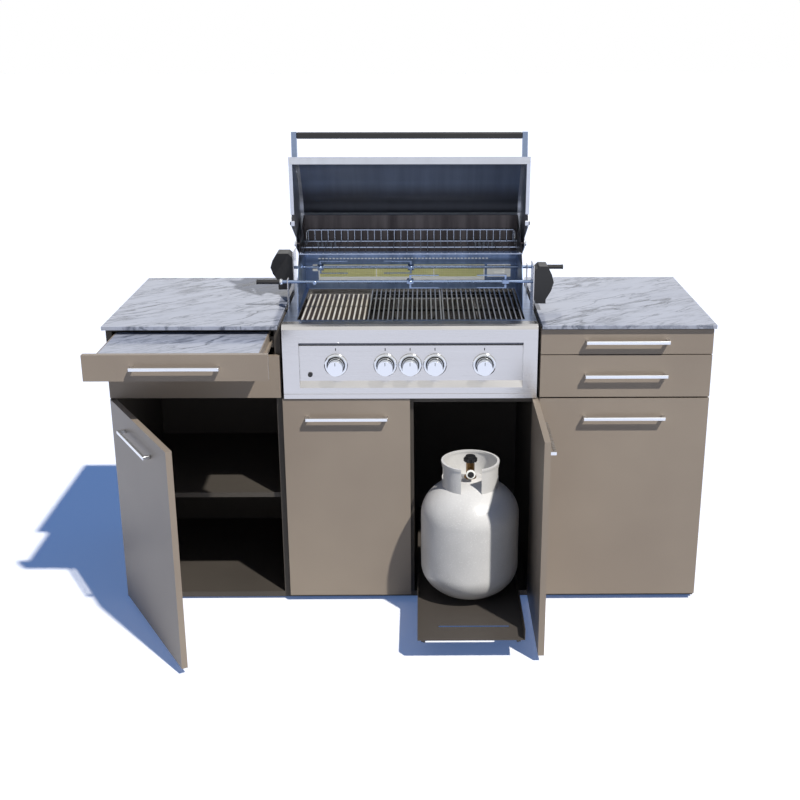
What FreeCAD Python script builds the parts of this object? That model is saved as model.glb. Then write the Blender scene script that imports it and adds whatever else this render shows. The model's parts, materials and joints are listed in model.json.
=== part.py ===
import FreeCAD, Part
import math
import os
import re

import Sketcher
from FreeCAD import Placement, Rotation, Vector

# Outdoor kitchen island: two side cabinets with stone tops, a centre cabinet with a built-in gas grill,
# and a gas cylinder on a pull-out tray. It is drawn as it stands in use: the hood, the left door, the
# right centre door, the pull-out board and the cylinder tray are open.
# X runs along the front from left to right, Y runs to the back and Z is up. The origin is on the floor,
# in the middle of the room that the open island takes up. Sizes are in millimetres, angles in degrees.
# Sizes that end in _y count from the front face of the closed doors, sizes that end in _z from the floor.

SIZES = {
    # stone tops and cabinets
    "top_z": 930, "top_thick": 12, "top_deep": 660, "top_overhang": 12, "top_lap": 4, "top_gap": 3.5,
    "half_wide": 925, "centre_half": 395, "panel": 18,
    "foot_high": 8, "foot_radius": 18, "foot_inset": 40, "partition_half": 9, "back_y": 600,
    "centre_top_z": 690, "shelf_z": 364, "shelf_thick": 16, "shelf_inset": 30, "rail_wide": 100,
    "rail_thick": 12,
    # doors and drawer fronts
    "front_thick": 18, "front_gap": 4, "inner_gap": 2, "edge_gap": 1.5, "centre_gap": 2.5,
    "pair_gap": 1.5, "door_z": 24, "door_top_z": 695, "drawer_z": 700, "drawer_top_z": 833.5,
    "upper_z": 836.5, "upper_top_z": 914, "pin_inset": 4, "pin_y": 4.5, "pin_radius": 2,
    "pin_long": 12, "pin_play": 0.05, "plate_thick": 1.6, "plate_wide": 8, "plate_high": 38,
    "left_open": 60, "centre_open": 90,
    # handles
    "handle_long": 253, "handle_high": 10, "handle_deep": 8, "handle_reach": 25, "post_wide": 10,
    "handle_low_z": 635, "handle_mid_z": 771, "handle_high_z": 878,
    # drawers and runners
    "box_wall": 12, "box_floor": 8, "box_back_y": 560, "lower_box_z": 716, "lower_box_high": 96,
    "upper_box_z": 850, "upper_box_high": 48, "board_out": 259, "board_thick": 12, "board_side": 3,
    "board_top_z": 903, "board_back_y": 540, "runner_thick": 12.4, "runner_high": 34, "runner_y": 30,
    "runner_long": 500, "runner_up": 20, "groove_deep": 7, "groove_half": 4, "slide_gap": 0.3,
    "tongue_long": 6, "tongue_play": 0.05,
    # cylinder tray
    "tray_left": 20, "tray_right": 336, "tray_z": 80, "tray_thick": 2, "tray_long": 540,
    "tray_out": 406, "tray_y": 20, "lip_high": 34, "lip_thick": 1.5, "slot_left": 87, "slot_right": 290,
    "slot_half": 5, "slot_inset": 81, "slide_wide": 16, "slide_high": 48, "slide_z": 60, "arm_start": 30,
    # gas cylinder
    "gas_x": 183, "gas_y": -79, "gas_radius": 151, "gas_wall": 3, "gas_low_z": 183, "gas_high_z": 350,
    "gas_crown_z": 465,
    "neck_radius": 18, "neck_z": 468, "neck_bore": 10, "collar_radius": 87, "collar_wall": 3,
    "collar_z": 521, "collar_window_z": 470, "collar_window": 62, "rim_radius": 3.5,
    "valve_radius": 13, "valve_z": 520, "outlet_z": 491, "outlet_radius": 10, "outlet_reach": 34,
    "stem_radius": 3.5, "wheel_radius": 21, "wheel_high": 11, "wheel_cap": 7, "wheel_lift": 1,
    # grill housing
    "grill_gap": 8, "grill_wall": 2, "panel_z": 698, "panel_y": -5, "panel_back_y": 45,
    "panel_shell_y": 17, "panel_round": 14, "face_in_a": 50, "face_in_b": 44, "band_z": 733,
    "face_z": 753, "face_top_z": 864, "groove_top_z": 875, "face_y": 5, "groove_y": 14, "seam_z": 713,
    "knob_z": 803, "knob_side": 226, "knob_mid": 75.5, "knob_radius": 23,
    "knob_y": -38, "bezel_radius": 35, "bezel_thick": 5, "knob_stem": 4, "stem_back_y": 24,
    "mark_up": 45, "button_in": 82, "button_z": 773, "button_radius": 7, "button_play": 0.05,
    "button_reach": 5, "button_long": 22,
    # cooking surface
    "deck_thick": 3, "cook_in_a": 41, "cook_in_b": 35, "cook_play": 5, "cook_y": 64, "cook_back_y": 484,
    "tub_z": 758, "ledge_z": 906, "ledge_thick": 3, "front_ledge": 12, "back_ledge": 60,
    "plate_right": -137, "plate_y": 67, "plate_back_y": 443, "plate_top_z": 921,
    "rib_count": 13, "rib_wide": 5, "rib_high": 4, "grate_left": -132, "grate_split": 98,
    "grate_y": 66, "grate_back_y": 481, "grate_top_z": 924, "bar_wide": 4,
    "bar_high": 12, "bar_count": 16, "rod_wide": 8, "rod_a_y": 261, "rod_b_y": 460,
    "burner_z": 850, "burner_radius": 13,
    # guard walls, rear burner and warming rack
    "guard_room": 13, "guard_wall": 2, "guard_y": 486, "guard_top_z": 1178, "guard_foot_y": 200,
    "guard_bend_y": 233, "guard_bend_z": 1019, "guard_slope_y": 260, "guard_slope_z": 1058,
    "guard_ear_y": 330, "guard_ear_z": 1118, "guard_rise_y": 382, "guard_rise_z": 1134,
    "vent_in_a": 41, "vent_in_b": 145, "vent_wide": 72, "vent_z": 1063, "vent_high": 24,
    "heat_in_a": 47, "heat_in_b": 110, "heat_z": 970, "heat_high": 41, "heat_deep": 12, "heat_rim": 4,
    "heat_base": 13, "igniter_in": 100, "igniter_wide": 79,
    "rack_y": 262, "rack_back_y": 478, "rack_z": 1094, "wire": 3, "wire_count": 32,
    "fence_z": 1129,
    # hood, drawn closed
    "pivot_y": 355, "pivot_z": 1108, "hood_open": 95, "hood_room": 17, "hood_sheet": 2,
    "rim_y": 76, "rim_z": 938, "bend_a_y": 95, "bend_a_z": 1140, "bend_b_y": 160, "bend_b_z": 1199,
    "bend_c_y": 222, "bend_c_z": 1251, "bend_d_y": 269, "bend_d_z": 1263, "hood_back_y": 430,
    "hood_back_z": 1268, "side_low_y": 285, "side_low_z": 968, "ear_radius": 16, "rim_fold": 20,
    "bend_round": 90, "hood_pin": 4, "notch_half": 8, "side_fold": 11, "grip_y": 1, "grip_z": 983,
    "grip_deep": 20, "grip_high": 20, "arm_wide": 16, "arm_in": 6,
    # rotisserie
    "spit_z": 1015, "spit_front_y": 210, "spit_back_y": 425, "spit_radius": 5, "spit_past": 18,
    "front_grip_past": 20, "rear_grip_past": 42, "spit_grip": 7.5, "spit_grip_long": 79, "hub_radius": 11,
    "hub_long": 20, "fork_half": 21.5, "tine_long": 90, "tine_half": 1.5, "fork_far": 300,
    # spit brackets and drive housings
    "bracket_wall": 3, "bracket_half": 45, "bracket_top_z": 1072, "post_half": 14, "post_top_z": 1026,
    "motor_fore": 45, "motor_aft": 25, "motor_edge": 15,
    "left_crown": 52, "left_crown_z": 1070, "left_bulge": 74, "left_bulge_z": 1024, "left_low": 50,
    "left_low_z": 979, "left_foot": 14, "left_foot_z": 950,
    "right_crown": 41, "right_crown_z": 1072, "right_bulge": 61, "right_bulge_z": 1021,
    "right_low": 37, "right_low_z": 967, "right_foot": 5, "right_foot_z": 954,
}

# Places worked out from the sizes, each a formula on the sizes and on the places above it.
PLACES = [
    ("cab_y", "front_thick + front_gap"),
    ("cab_top", "top_z - top_thick"),
    ("side_outer", "half_wide - top_lap"),
    ("side_inner", "centre_half"),
    ("grill_half", "centre_half - grill_gap"),
    ("side_in_a", "side_inner + panel"),
    ("side_in_b", "side_outer - panel"),
    ("side_door_a", "side_inner + inner_gap"),
    ("side_door_b", "side_outer - edge_gap"),
    ("side_door_wide", "side_door_b - side_door_a"),
    ("side_mid", "(side_door_a + side_door_b) / 2"),
    ("centre_door_wide", "centre_half - centre_gap - pair_gap"),
    ("side_pin_x", "side_door_b - pin_inset"),
    ("centre_pin_x", "centre_half - centre_gap - pin_inset"),
    ("right_pin_x", "side_door_a + pin_inset"),
    ("box_a", "side_in_a + runner_thick + slide_gap"),
    ("box_b", "side_in_b - runner_thick - slide_gap"),
    ("floor_z", "foot_high + panel"),
    ("shut_y", "tray_y"),
    ("tray_low", "tray_z - tray_thick"),
    ("face_left", "face_in_a - grill_half"),
    ("face_right", "grill_half - face_in_b"),
    ("button_x", "button_in - grill_half"),
    ("cook_left", "cook_in_a - grill_half"),
    ("cook_right", "grill_half - cook_in_b"),
    ("plate_left", "cook_left + cook_play"),
    ("grate_right", "cook_right - cook_play"),
    ("hood_half", "grill_half - hood_room"),
    ("guard_half", "hood_half - guard_room"),
    ("rack_half", "guard_half - guard_wall"),
    ("vent_left", "vent_in_a - guard_half"),
    ("vent_right", "guard_half - vent_in_b"),
    ("heat_left", "heat_in_a - guard_half"),
    ("heat_right", "guard_half - heat_in_b"),
    ("igniter_x", "guard_half - igniter_in"),
    ("bracket_x", "grill_half - bracket_wall"),
    ("spit_end", "bracket_x + spit_past"),
    ("front_grip_x", "bracket_x + front_grip_past"),
    ("rear_grip_x", "bracket_x + rear_grip_past"),
    ("notch_away_y", "spit_front_y - pivot_y"),
    ("notch_away_z", "spit_z - pivot_z"),
    ("notch_reach", "sqrt(notch_away_y * notch_away_y + notch_away_z * notch_away_z)"),
    ("face_lean", "(bend_a_y - rim_y) / (bend_a_z - rim_z)"),
    ("reach_front", "pin_y - (side_door_wide - pin_inset) * sin(left_open) - pin_y * cos(left_open)"),
    ("reach_back", "top_deep - top_overhang"),
    ("mid_y", "(reach_front + reach_back) / 2"),
]

doc = FreeCAD.newDocument("kitchen_island")
sheet = doc.addObject("Spreadsheet::Sheet", "Sizes")
for row, (alias, number) in enumerate(SIZES.items(), start=1):
    sheet.set(f"A{row}", alias)
    sheet.set(f"B{row}", str(number))
    sheet.setAlias(f"B{row}", alias)
doc.recompute()

places = doc.addObject("App::VarSet", "Places")
WORD = re.compile(r"[a-z][a-z_]*[a-z]")
FUNCTIONS = ("sin", "cos", "sqrt")


def formula_text(text):
    """Writes each size or place named in a formula with the object that holds it."""
    def owner(match):
        word = match.group(0)
        if word in FUNCTIONS:
            return word
        return ("Sizes." if word in SIZES else "Places.") + word
    return WORD.sub(owner, str(text))


for name, formula in PLACES:
    places.addProperty("App::PropertyFloat", name)
    places.setExpression(name, formula_text(formula))
doc.recompute()

nodes = []
SIDES = (-1, 1)
X_AXIS = Vector(1, 0, 0)
Y_AXIS = Vector(0, 1, 0)
Z_AXIS = Vector(0, 0, 1)
ACROSS = Rotation(Vector(1, 1, 1), 120)
UPRIGHT = Rotation(X_AXIS, 90)
AXES = {
    "x": Rotation(Vector(0, 1, 0), 90),
    "y": Rotation(Vector(1, 0, 0), -90),
    "z": Rotation(),
}


def bind(obj, prop, formula):
    obj.setExpression(prop, formula_text(formula))


def put(obj, x, y, z):
    """Sets where an object's own origin lies, in the frame that it is drawn in."""
    bind(obj, "Placement.Base.x", x)
    bind(obj, "Placement.Base.y", y)
    bind(obj, "Placement.Base.z", z)


def block(x, y, z, dx, dy, dz):
    obj = doc.addObject("Part::Box", "block")
    bind(obj, "Length", dx)
    bind(obj, "Width", dy)
    bind(obj, "Height", dz)
    put(obj, x, y, z)
    return obj


def between(xs, ys, zs):
    """A block from the first to the second place on each axis."""
    spans = [f"({b}) - ({a})" for a, b in (xs, ys, zs)]
    return block(xs[0], ys[0], zs[0], *spans)


def mirrored(side, a, b):
    """The places a and b on the right, or their mirror image on the left."""
    return (a, b) if side > 0 else (f"-({b})", f"-({a})")


def bar(axis, x, y, z, radius, long):
    obj = doc.addObject("Part::Cylinder", "bar")
    bind(obj, "Radius", radius)
    bind(obj, "Height", long)
    obj.Placement = Placement(Vector(), AXES[axis])
    put(obj, x, y, z)
    return obj


def flat_sided(axis, x, y, z, radius, long, sides, turn=0):
    """A bar of regular section along an axis; the radius is that of its corners."""
    obj = doc.addObject("Part::Prism", "flat_sided")
    obj.Polygon = sides
    bind(obj, "Circumradius", radius)
    bind(obj, "Height", long)
    obj.Placement = Placement(Vector(), AXES[axis] * Rotation(Z_AXIS, turn))
    put(obj, x, y, z)
    return obj


def numbers(formulas):
    """The value of each formula, worked out by a throwaway set of properties."""
    scratch = doc.addObject("App::VarSet", "scratch")
    for index, formula in enumerate(formulas):
        scratch.addProperty("App::PropertyFloat", f"number{index}")
        bind(scratch, f"number{index}", formula)
    doc.recompute([scratch])
    values = [getattr(scratch, f"number{index}") for index in range(len(formulas))]
    doc.removeObject(scratch.Name)
    return values


def sketch_of(corners, rotation):
    """A closed sketch of straight sides; a corner with a third formula is rounded to that radius."""
    sketch = doc.addObject("Sketcher::SketchObject", "outline")
    sketch.Placement = Placement(Vector(), rotation)
    flat = []
    for corner in corners:
        flat.extend(corner[:2])
        flat.append(corner[2] if len(corner) > 2 else "0")
    values = numbers(flat)
    spots = [Vector(values[place], values[place + 1], 0) for place in range(0, len(values), 3)]
    rounds = values[2::3]
    count = len(spots)
    starts = []
    ends = []
    for index in range(count):
        before = (spots[index - 1] - spots[index]).normalize()
        after = (spots[(index + 1) % count] - spots[index]).normalize()
        cut = rounds[index] / math.tan(before.getAngle(after) / 2) if rounds[index] else 0
        ends.append(spots[index] + before * cut)
        starts.append(spots[index] + after * cut)
    for index in range(count):
        sketch.addGeometry(Part.LineSegment(starts[index], ends[(index + 1) % count]))

    def hold(geometry, place, index):
        for kind, formula, number in (("DistanceX", corners[index][0], spots[index].x),
                                      ("DistanceY", corners[index][1], spots[index].y)):
            rule = sketch.addConstraint(Sketcher.Constraint(kind, -1, 1, geometry, place, number))
            bind(sketch, f"Constraints[{rule}]", formula)

    for index in range(count):
        last = (index - 1) % count
        if not rounds[index]:
            sketch.addConstraint(Sketcher.Constraint("Coincident", last, 2, index, 1))
            hold(index, 1, index)
            continue
        corner = spots[index]
        inward = (ends[index] - corner).normalize() + (starts[index] - corner).normalize()
        reach = math.hypot((ends[index] - corner).Length, rounds[index])
        centre = corner + inward.normalize() * reach
        middle = centre + (corner - centre).normalize() * rounds[index]
        arc = sketch.addGeometry(Part.Arc(ends[index], middle, starts[index]))
        turn = (starts[index] - corner).cross(ends[index] - corner).z
        first, second = (1, 2) if turn > 0 else (2, 1)
        sketch.addConstraint(Sketcher.Constraint("Tangent", last, 2, arc, first))
        sketch.addConstraint(Sketcher.Constraint("Tangent", arc, second, index, 1))
        rule = sketch.addConstraint(Sketcher.Constraint("Radius", arc, rounds[index]))
        bind(sketch, f"Constraints[{rule}]", corners[index][2])
        mark = sketch.addGeometry(Part.Point(corner), True)
        sketch.addConstraint(Sketcher.Constraint("PointOnObject", mark, 1, last))
        sketch.addConstraint(Sketcher.Constraint("PointOnObject", mark, 1, index))
        hold(mark, 1, index)
    return sketch


def prism(xs, corners):
    """A solid whose outline is given as (Y, Z) corners, from the first to the second place on X."""
    sketch = sketch_of(corners, ACROSS)
    bind(sketch, "Placement.Base.x", xs[0])
    return pushed(sketch, X_AXIS, xs)


def deep_prism(ys, corners):
    """A solid whose outline is given as (X, Z) corners, from the first to the second place on Y."""
    sketch = sketch_of(corners, UPRIGHT)
    bind(sketch, "Placement.Base.y", ys[0])
    return pushed(sketch, Y_AXIS, ys)


def pushed(sketch, way, span):
    obj = doc.addObject("Part::Extrusion", "prism")
    obj.Base = sketch
    obj.DirMode = "Custom"
    obj.Dir = way
    obj.Solid = True
    bind(obj, "LengthFwd", f"({span[1]}) - ({span[0]})")
    return obj


def turned(corners):
    """A solid whose half outline is given as (radius, Z) corners, turned once round the Z axis."""
    sketch = sketch_of(corners, UPRIGHT)
    obj = doc.addObject("Part::Revolution", "turned")
    obj.Source = sketch
    obj.Axis = Z_AXIS
    obj.Solid = True
    return obj


def joined(parts):
    if len(parts) == 1:
        return parts[0]
    obj = doc.addObject("Part::MultiFuse", "joined")
    obj.Shapes = parts
    return obj


def less(base, tools):
    obj = doc.addObject("Part::Cut", "less")
    obj.Base = base
    obj.Tool = joined(tools)
    return obj


def apart(parts):
    obj = doc.addObject("Part::Compound", "group")
    obj.Links = parts
    return obj


def node(label, parts, frame=("0", "0", "0"), axis=None, angle="0"):
    """Names a sub-part made of one or more drawn solids, and places the frame it is drawn in."""
    obj = apart(parts if isinstance(parts, list) else [parts])
    obj.Label = label
    x, y, z = frame
    if axis is not None:
        obj.Placement = Placement(Vector(), Rotation(axis, 1))
        bind(obj, "Placement.Rotation.Angle", angle)
    put(obj, x, f"({y}) - mid_y", z)
    nodes.append(obj)
    return obj


# Side cabinets, centre cabinet and stone tops
CABINET_SIDES = {"left": -1, "right": 1}
side_walls = []
worktops = []
side_floor = []
side_back = []
side_rails = []
side_shelves = []
for name, side in CABINET_SIDES.items():
    inner = mirrored(side, "side_in_a", "side_in_b")
    walls = []
    for a, b in (("side_inner", "side_in_a"), ("side_in_b", "side_outer")):
        wall = between(mirrored(side, a, b), ("cab_y", "back_y + panel"), ("foot_high", "cab_top"))
        walls.append(wall)
    side_walls.extend(walls)
    side_floor.append(between(inner, ("cab_y", "back_y"), ("foot_high", "floor_z")))
    side_back.append(between(inner, ("back_y", "back_y + panel"), ("foot_high", "cab_top")))
    for start in ("cab_y", "back_y - rail_wide"):
        rail = between(inner, (start, f"{start} + rail_wide"), ("cab_top - rail_thick", "cab_top"))
        side_rails.append(rail)
    shelf = between(inner, ("cab_y + shelf_inset", "back_y"), ("shelf_z - shelf_thick", "shelf_z"))
    side_shelves.append(shelf)
    top_xs = mirrored(side, "centre_half + top_gap", "half_wide")
    top_ys = ("-top_overhang", "top_deep - top_overhang")
    worktops.append(between(top_xs, top_ys, ("cab_top", "top_z")))

centre_walls = []
for side in SIDES:
    xs = mirrored(side, "centre_half - panel", "centre_half")
    centre_walls.append(between(xs, ("cab_y", "back_y + panel"), ("foot_high", "centre_top_z")))
node("cabinet_sides", side_walls + centre_walls)
node("worktops", worktops)
centre_inner = ("panel - centre_half", "centre_half - panel")
rail_z = ("centre_top_z - rail_thick", "centre_top_z")
part_xs = ("-partition_half", "partition_half")
part_zs = ("floor_z", "centre_top_z - rail_thick")
node("centre_partition", between(part_xs, ("cab_y", "back_y"), part_zs))
centre_floor = between(centre_inner, ("cab_y", "back_y"), ("foot_high", "floor_z"))
node("cabinet_bottoms", side_floor + [centre_floor])
centre_back = between(centre_inner, ("back_y", "back_y + panel"), ("foot_high", "centre_top_z"))
node("back_panels", side_back + [centre_back])
centre_rails = []
for start in ("cab_y", "back_y - rail_wide"):
    centre_rails.append(between(centre_inner, (start, f"{start} + rail_wide"), rail_z))
node("top_rails", side_rails + centre_rails)
node("shelves", side_shelves)

feet = []
FOOT_PLACES = [
    "-(side_outer - foot_inset)", "-(side_inner + foot_inset)", "-(centre_half - foot_inset)",
    "centre_half - foot_inset", "side_inner + foot_inset", "side_outer - foot_inset",
]
for foot_x in FOOT_PLACES:
    for foot_y in ("cab_y + foot_inset", "back_y + panel - foot_inset"):
        feet.append(flat_sided("z", foot_x, foot_y, "0", "foot_radius", "foot_high", 6))
node("levelling_feet", feet)


# Doors, each drawn shut round its own hinge line, and the handles
def handle(label, mid, face_y, z, frame, axis=None, angle="0"):
    """A flat bar with a square post at each end; mid is the place of its middle along the front."""
    zs = (f"{z} - handle_high / 2", f"{z} + handle_high / 2")
    ends = (f"({mid}) - handle_long / 2", f"({mid}) + handle_long / 2")
    outside = f"({face_y}) - handle_reach"
    parts = [between(ends, (outside, f"{outside} + handle_deep"), zs)]
    for post_xs in ((ends[0], f"{ends[0]} + post_wide"), (f"{ends[1]} - post_wide", ends[1])):
        parts.append(between(post_xs, (outside, face_y), zs))
    return node(label, joined(parts), frame, axis, angle)


def door(name, side, pin_x, wide, angle):
    """A door with its hinge line on the given side of it, turned open by an angle."""
    xs = ("-pin_inset", f"{wide} - pin_inset") if side < 0 else (f"pin_inset - {wide}", "pin_inset")
    slab = between(xs, ("-pin_y", "front_thick - pin_y"), ("door_z", "door_top_z"))
    bores = []
    for z in ("door_z", "door_top_z - pin_long"):
        bores.append(bar("z", "0", "0", z, "pin_radius + pin_play", "pin_long"))
    frame = (pin_x, "pin_y", "0")
    node(f"{name}_door", less(slab, bores), frame, Z_AXIS, angle)
    sign = "" if side < 0 else "-"
    mid = f"{sign}({wide} / 2 - pin_inset)"
    handle(f"{name}_door_handle", mid, "-pin_y", "handle_low_z", frame, Z_AXIS, angle)


door("left", -1, "-side_pin_x", "side_door_wide", "-left_open")
door("centre_left", -1, "-centre_pin_x", "centre_door_wide", "0")
door("centre_right", 1, "centre_pin_x", "centre_door_wide", "centre_open")
door("right", -1, "right_pin_x", "side_door_wide", "0")

pivots = []
for pin_x, side in (("side_pin_x", -1), ("centre_pin_x", -1), ("centre_pin_x", 1), ("right_pin_x", 1)):
    pin_place = pin_x if side > 0 else f"-{pin_x}"
    plate_xs = mirrored(side, f"{pin_x} - plate_wide / 2", f"{pin_x} + plate_wide / 2")
    leaf_ys = ("cab_y - plate_thick", "cab_y")
    low_top = "door_z - plate_thick / 8"
    low_zs = (f"{low_top} - plate_thick", low_top)
    low_parts = [
        between(plate_xs, ("pin_y - plate_wide / 2", "cab_y"), low_zs),
        between(plate_xs, leaf_ys, (low_zs[0], "door_z + plate_high")),
        flat_sided("z", pin_place, "pin_y", low_zs[0], "pin_radius", "pin_long - 2", 12),
    ]
    high_low = "door_top_z + plate_thick / 2"
    high_top = f"{high_low} + plate_thick"
    high_parts = [
        between(plate_xs, ("pin_y - plate_wide / 2", "cab_y"), (high_low, high_top)),
        between(plate_xs, leaf_ys, ("centre_top_z - plate_high", high_top)),
        flat_sided("z", pin_place, "pin_y", f"{high_top} - pin_long", "pin_radius", "pin_long", 12),
    ]
    pivots.append(joined(low_parts))
    pivots.append(joined(high_parts))
node("door_pivots", pivots)


# Drawers, pull-out board and their runners
def drawer_box(side, y, z, high):
    """An open box with a tongue along each side, its inside, and nothing in front of it."""
    outer = between(mirrored(side, "box_a", "box_b"), (y, "box_back_y"), (z, f"{z} + {high}"))
    hole_xs = mirrored(side, "box_a + box_wall", "box_b - box_wall")
    hole_ys = (f"{y} + box_wall", "box_back_y - box_wall")
    hole = between(hole_xs, hole_ys, (f"{z} + box_floor", f"{z} + {high} + 1"))
    return [less(outer, [hole])] + tongues(side, y, z)


def tongues(side, y, z):
    parts = []
    zs = (f"{z} + runner_up - groove_half + tongue_play", f"{z} + runner_up + groove_half - tongue_play")
    for a, b in (("box_a - tongue_long", "box_a"), ("box_b", "box_b + tongue_long")):
        parts.append(between(mirrored(side, a, b), (y, "box_back_y"), zs))
    return parts


def runners(side, z):
    """The two fixed rails of a drawer, each with a groove on its inner face."""
    parts = []
    ys = ("runner_y", "runner_y + runner_long")
    mid = f"{z} + runner_up"
    zs = (f"{mid} - runner_high / 2", f"{mid} + runner_high / 2")
    groove_zs = (f"{mid} - groove_half", f"{mid} + groove_half")
    near = ("side_in_a", "side_in_a + runner_thick")
    far = ("side_in_b - runner_thick", "side_in_b")
    near_groove = (f"{near[1]} - groove_deep", near[1])
    far_groove = (far[0], f"{far[0]} + groove_deep")
    for rail_xs, groove_xs in ((near, near_groove), (far, far_groove)):
        rail = between(mirrored(side, *rail_xs), ys, zs)
        groove = between(mirrored(side, *groove_xs), ys, groove_zs)
        parts.append(less(rail, [groove]))
    return parts


def front_slab(side, low, high):
    return between(mirrored(side, "side_door_a", "side_door_b"), ("0", "front_thick"), (low, high))


def drawer(name, side, low, high, box_z, box_high, handle_z):
    parts = [front_slab(side, low, high)] + drawer_box(side, "front_thick", box_z, box_high)
    node(f"{name}_drawer", joined(parts))
    handle(f"{name}_drawer_handle", "side_mid" if side > 0 else "-side_mid", "0", handle_z, ("0", "0", "0"))


drawer("left", -1, "drawer_z", "drawer_top_z", "lower_box_z", "lower_box_high", "handle_mid_z")
drawer("right_lower", 1, "drawer_z", "drawer_top_z", "lower_box_z", "lower_box_high", "handle_mid_z")
drawer("right_upper", 1, "upper_z", "upper_top_z", "upper_box_z", "upper_box_high", "handle_high_z")

out = ("0", "-board_out", "0")
node("pullout_front", front_slab(-1, "upper_z", "upper_top_z"), out)
frame_outer = between(("-box_b", "-box_a"), ("front_thick", "box_back_y"), ("upper_box_z", "board_top_z"))
board_xs = ("board_side - box_b", "-(box_a + board_side)")
board_bed = between(board_xs, ("front_thick", "board_back_y"), ("board_top_z - board_thick", "board_top_z"))
frame_parts = [less(frame_outer, [board_bed])] + tongues(-1, "front_thick", "upper_box_z")
node("pullout_frame", joined(frame_parts), out)
board_ys = ("front_thick", "board_back_y")
board_zs = ("board_top_z - board_thick", "board_top_z")
node("pullout_board", between(board_xs, board_ys, board_zs), out)
handle("pullout_handle", "-side_mid", "0", "handle_high_z", out)

rails = runners(-1, "upper_box_z") + runners(-1, "lower_box_z")
rails = rails + runners(1, "upper_box_z") + runners(1, "lower_box_z")
node("drawer_runners", rails)

# Cylinder tray on two grooved rails that stand on the cabinet bottom
tray_ys = ("0", "tray_long")
tray_parts = []
plate = between(("tray_left", "tray_right"), tray_ys, ("tray_low", "tray_z"))
slot_y = "slot_inset"
slot_tools = [between(("slot_left", "slot_right"), ("slot_inset - slot_half", "slot_inset + slot_half"),
                      ("tray_low - 1", "tray_z + 1"))]
for x in ("slot_left", "slot_right"):
    slot_tools.append(bar("z", x, slot_y, "tray_low - 1", "slot_half", "tray_thick + 2"))
tray_parts.append(less(plate, slot_tools))
lip_zs = ("tray_low", "tray_z + lip_high")
for lip_xs in (("tray_left", "tray_left + lip_thick"), ("tray_right - lip_thick", "tray_right")):
    tray_parts.append(between(lip_xs, tray_ys, lip_zs))
tongue_zs = ("slide_z - groove_half + tongue_play", "slide_z + groove_half - tongue_play")
arm_ys = ("arm_start", "tray_long")
left_arm = "tray_left + slide_wide + slide_gap"
right_arm = "tray_right - slide_wide - slide_gap"
arm_zs = ("slide_z - groove_half - 2", "tray_z")
tray_parts.append(between((left_arm, f"{left_arm} + tongue_long"), arm_ys, arm_zs))
tray_parts.append(between((f"{left_arm} - tongue_long", left_arm), arm_ys, tongue_zs))
tray_parts.append(between((f"{right_arm} - tongue_long", right_arm), arm_ys, arm_zs))
tray_parts.append(between((right_arm, f"{right_arm} + tongue_long"), arm_ys, tongue_zs))
node("gas_tray", joined(tray_parts), ("0", "shut_y - tray_out", "0"))

slides = []
slide_ys = ("runner_y", "back_y - 10")
slide_zs = ("floor_z", "floor_z + slide_high")
groove_zs = ("slide_z - groove_half", "slide_z + groove_half")
left_xs = ("tray_left", "tray_left + slide_wide")
right_xs = ("tray_right - slide_wide", "tray_right")
left_groove = (f"{left_xs[1]} - groove_deep", left_xs[1])
right_groove = (right_xs[0], f"{right_xs[0]} + groove_deep")
for slide_xs, slide_groove in ((left_xs, left_groove), (right_xs, right_groove)):
    slide = between(slide_xs, slide_ys, slide_zs)
    slides.append(less(slide, [between(slide_groove, slide_ys, groove_zs)]))
node("gas_tray_runners", slides)


# Gas cylinder, drawn on its own axis
def body_outline(grow):
    """The vessel's half outline from its seat up, grown by an amount; domes are short cone bands."""
    radius = f"(gas_radius + {grow})"
    points = []
    for turn in (70, 38, 0):
        drop = f"((gas_low_z - tray_z) / sin(70) + {grow}) * sin({turn})"
        points.append((f"{radius} * cos({turn})", f"gas_low_z - {drop}"))
    for turn in (0, 30, 60):
        rise = f"(gas_crown_z - gas_high_z + {grow}) * sin({turn})"
        points.append((f"{radius} * cos({turn})", f"gas_high_z + {rise}"))
    return [("0", points[0][1])] + points


gas_frame = ("gas_x", "gas_y", "0")
outer_line = body_outline("0")
neck_line = [
    ("neck_radius", "gas_crown_z"), ("neck_radius", "neck_z"), ("neck_bore", "neck_z"),
    ("neck_bore", "gas_crown_z - gas_wall"),
]
vessel = turned(outer_line + neck_line + list(reversed(body_outline("(-gas_wall)"))))
node("gas_cylinder", vessel, gas_frame)

collar_base_z = "gas_high_z + 60"
collar_high = "collar_z - gas_high_z - 60"
collar_outer = bar("z", "0", "0", collar_base_z, "collar_radius", collar_high)
collar_inner = bar("z", "0", "0", collar_base_z, "collar_radius - collar_wall", collar_high)
rim_in = "collar_radius - collar_wall / 2 - rim_radius"
rim_out = "collar_radius - collar_wall / 2 + rim_radius"
rim_low = "collar_z - rim_radius"
rim_top = "collar_z + rim_radius"
rim = turned([(rim_in, rim_low), (rim_out, rim_low), (rim_out, rim_top), (rim_in, rim_top)])
window_xs = ("-collar_window / 2", "collar_window / 2")
window = between(window_xs, ("-collar_radius - 10", "0"), (collar_base_z, "collar_z + 10"))
collar_tools = [window, turned(outer_line + [("0", "gas_crown_z")])]
for side in SIDES:
    ends = mirrored(side, "collar_radius - 12", "collar_radius + 10")
    collar_tools.append(between(ends, ("-24", "24"), ("collar_window_z", "collar_z - 14")))
collar_body = joined([less(collar_outer, [collar_inner]), rim])
node("cylinder_collar", less(collar_body, collar_tools), gas_frame)

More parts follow.
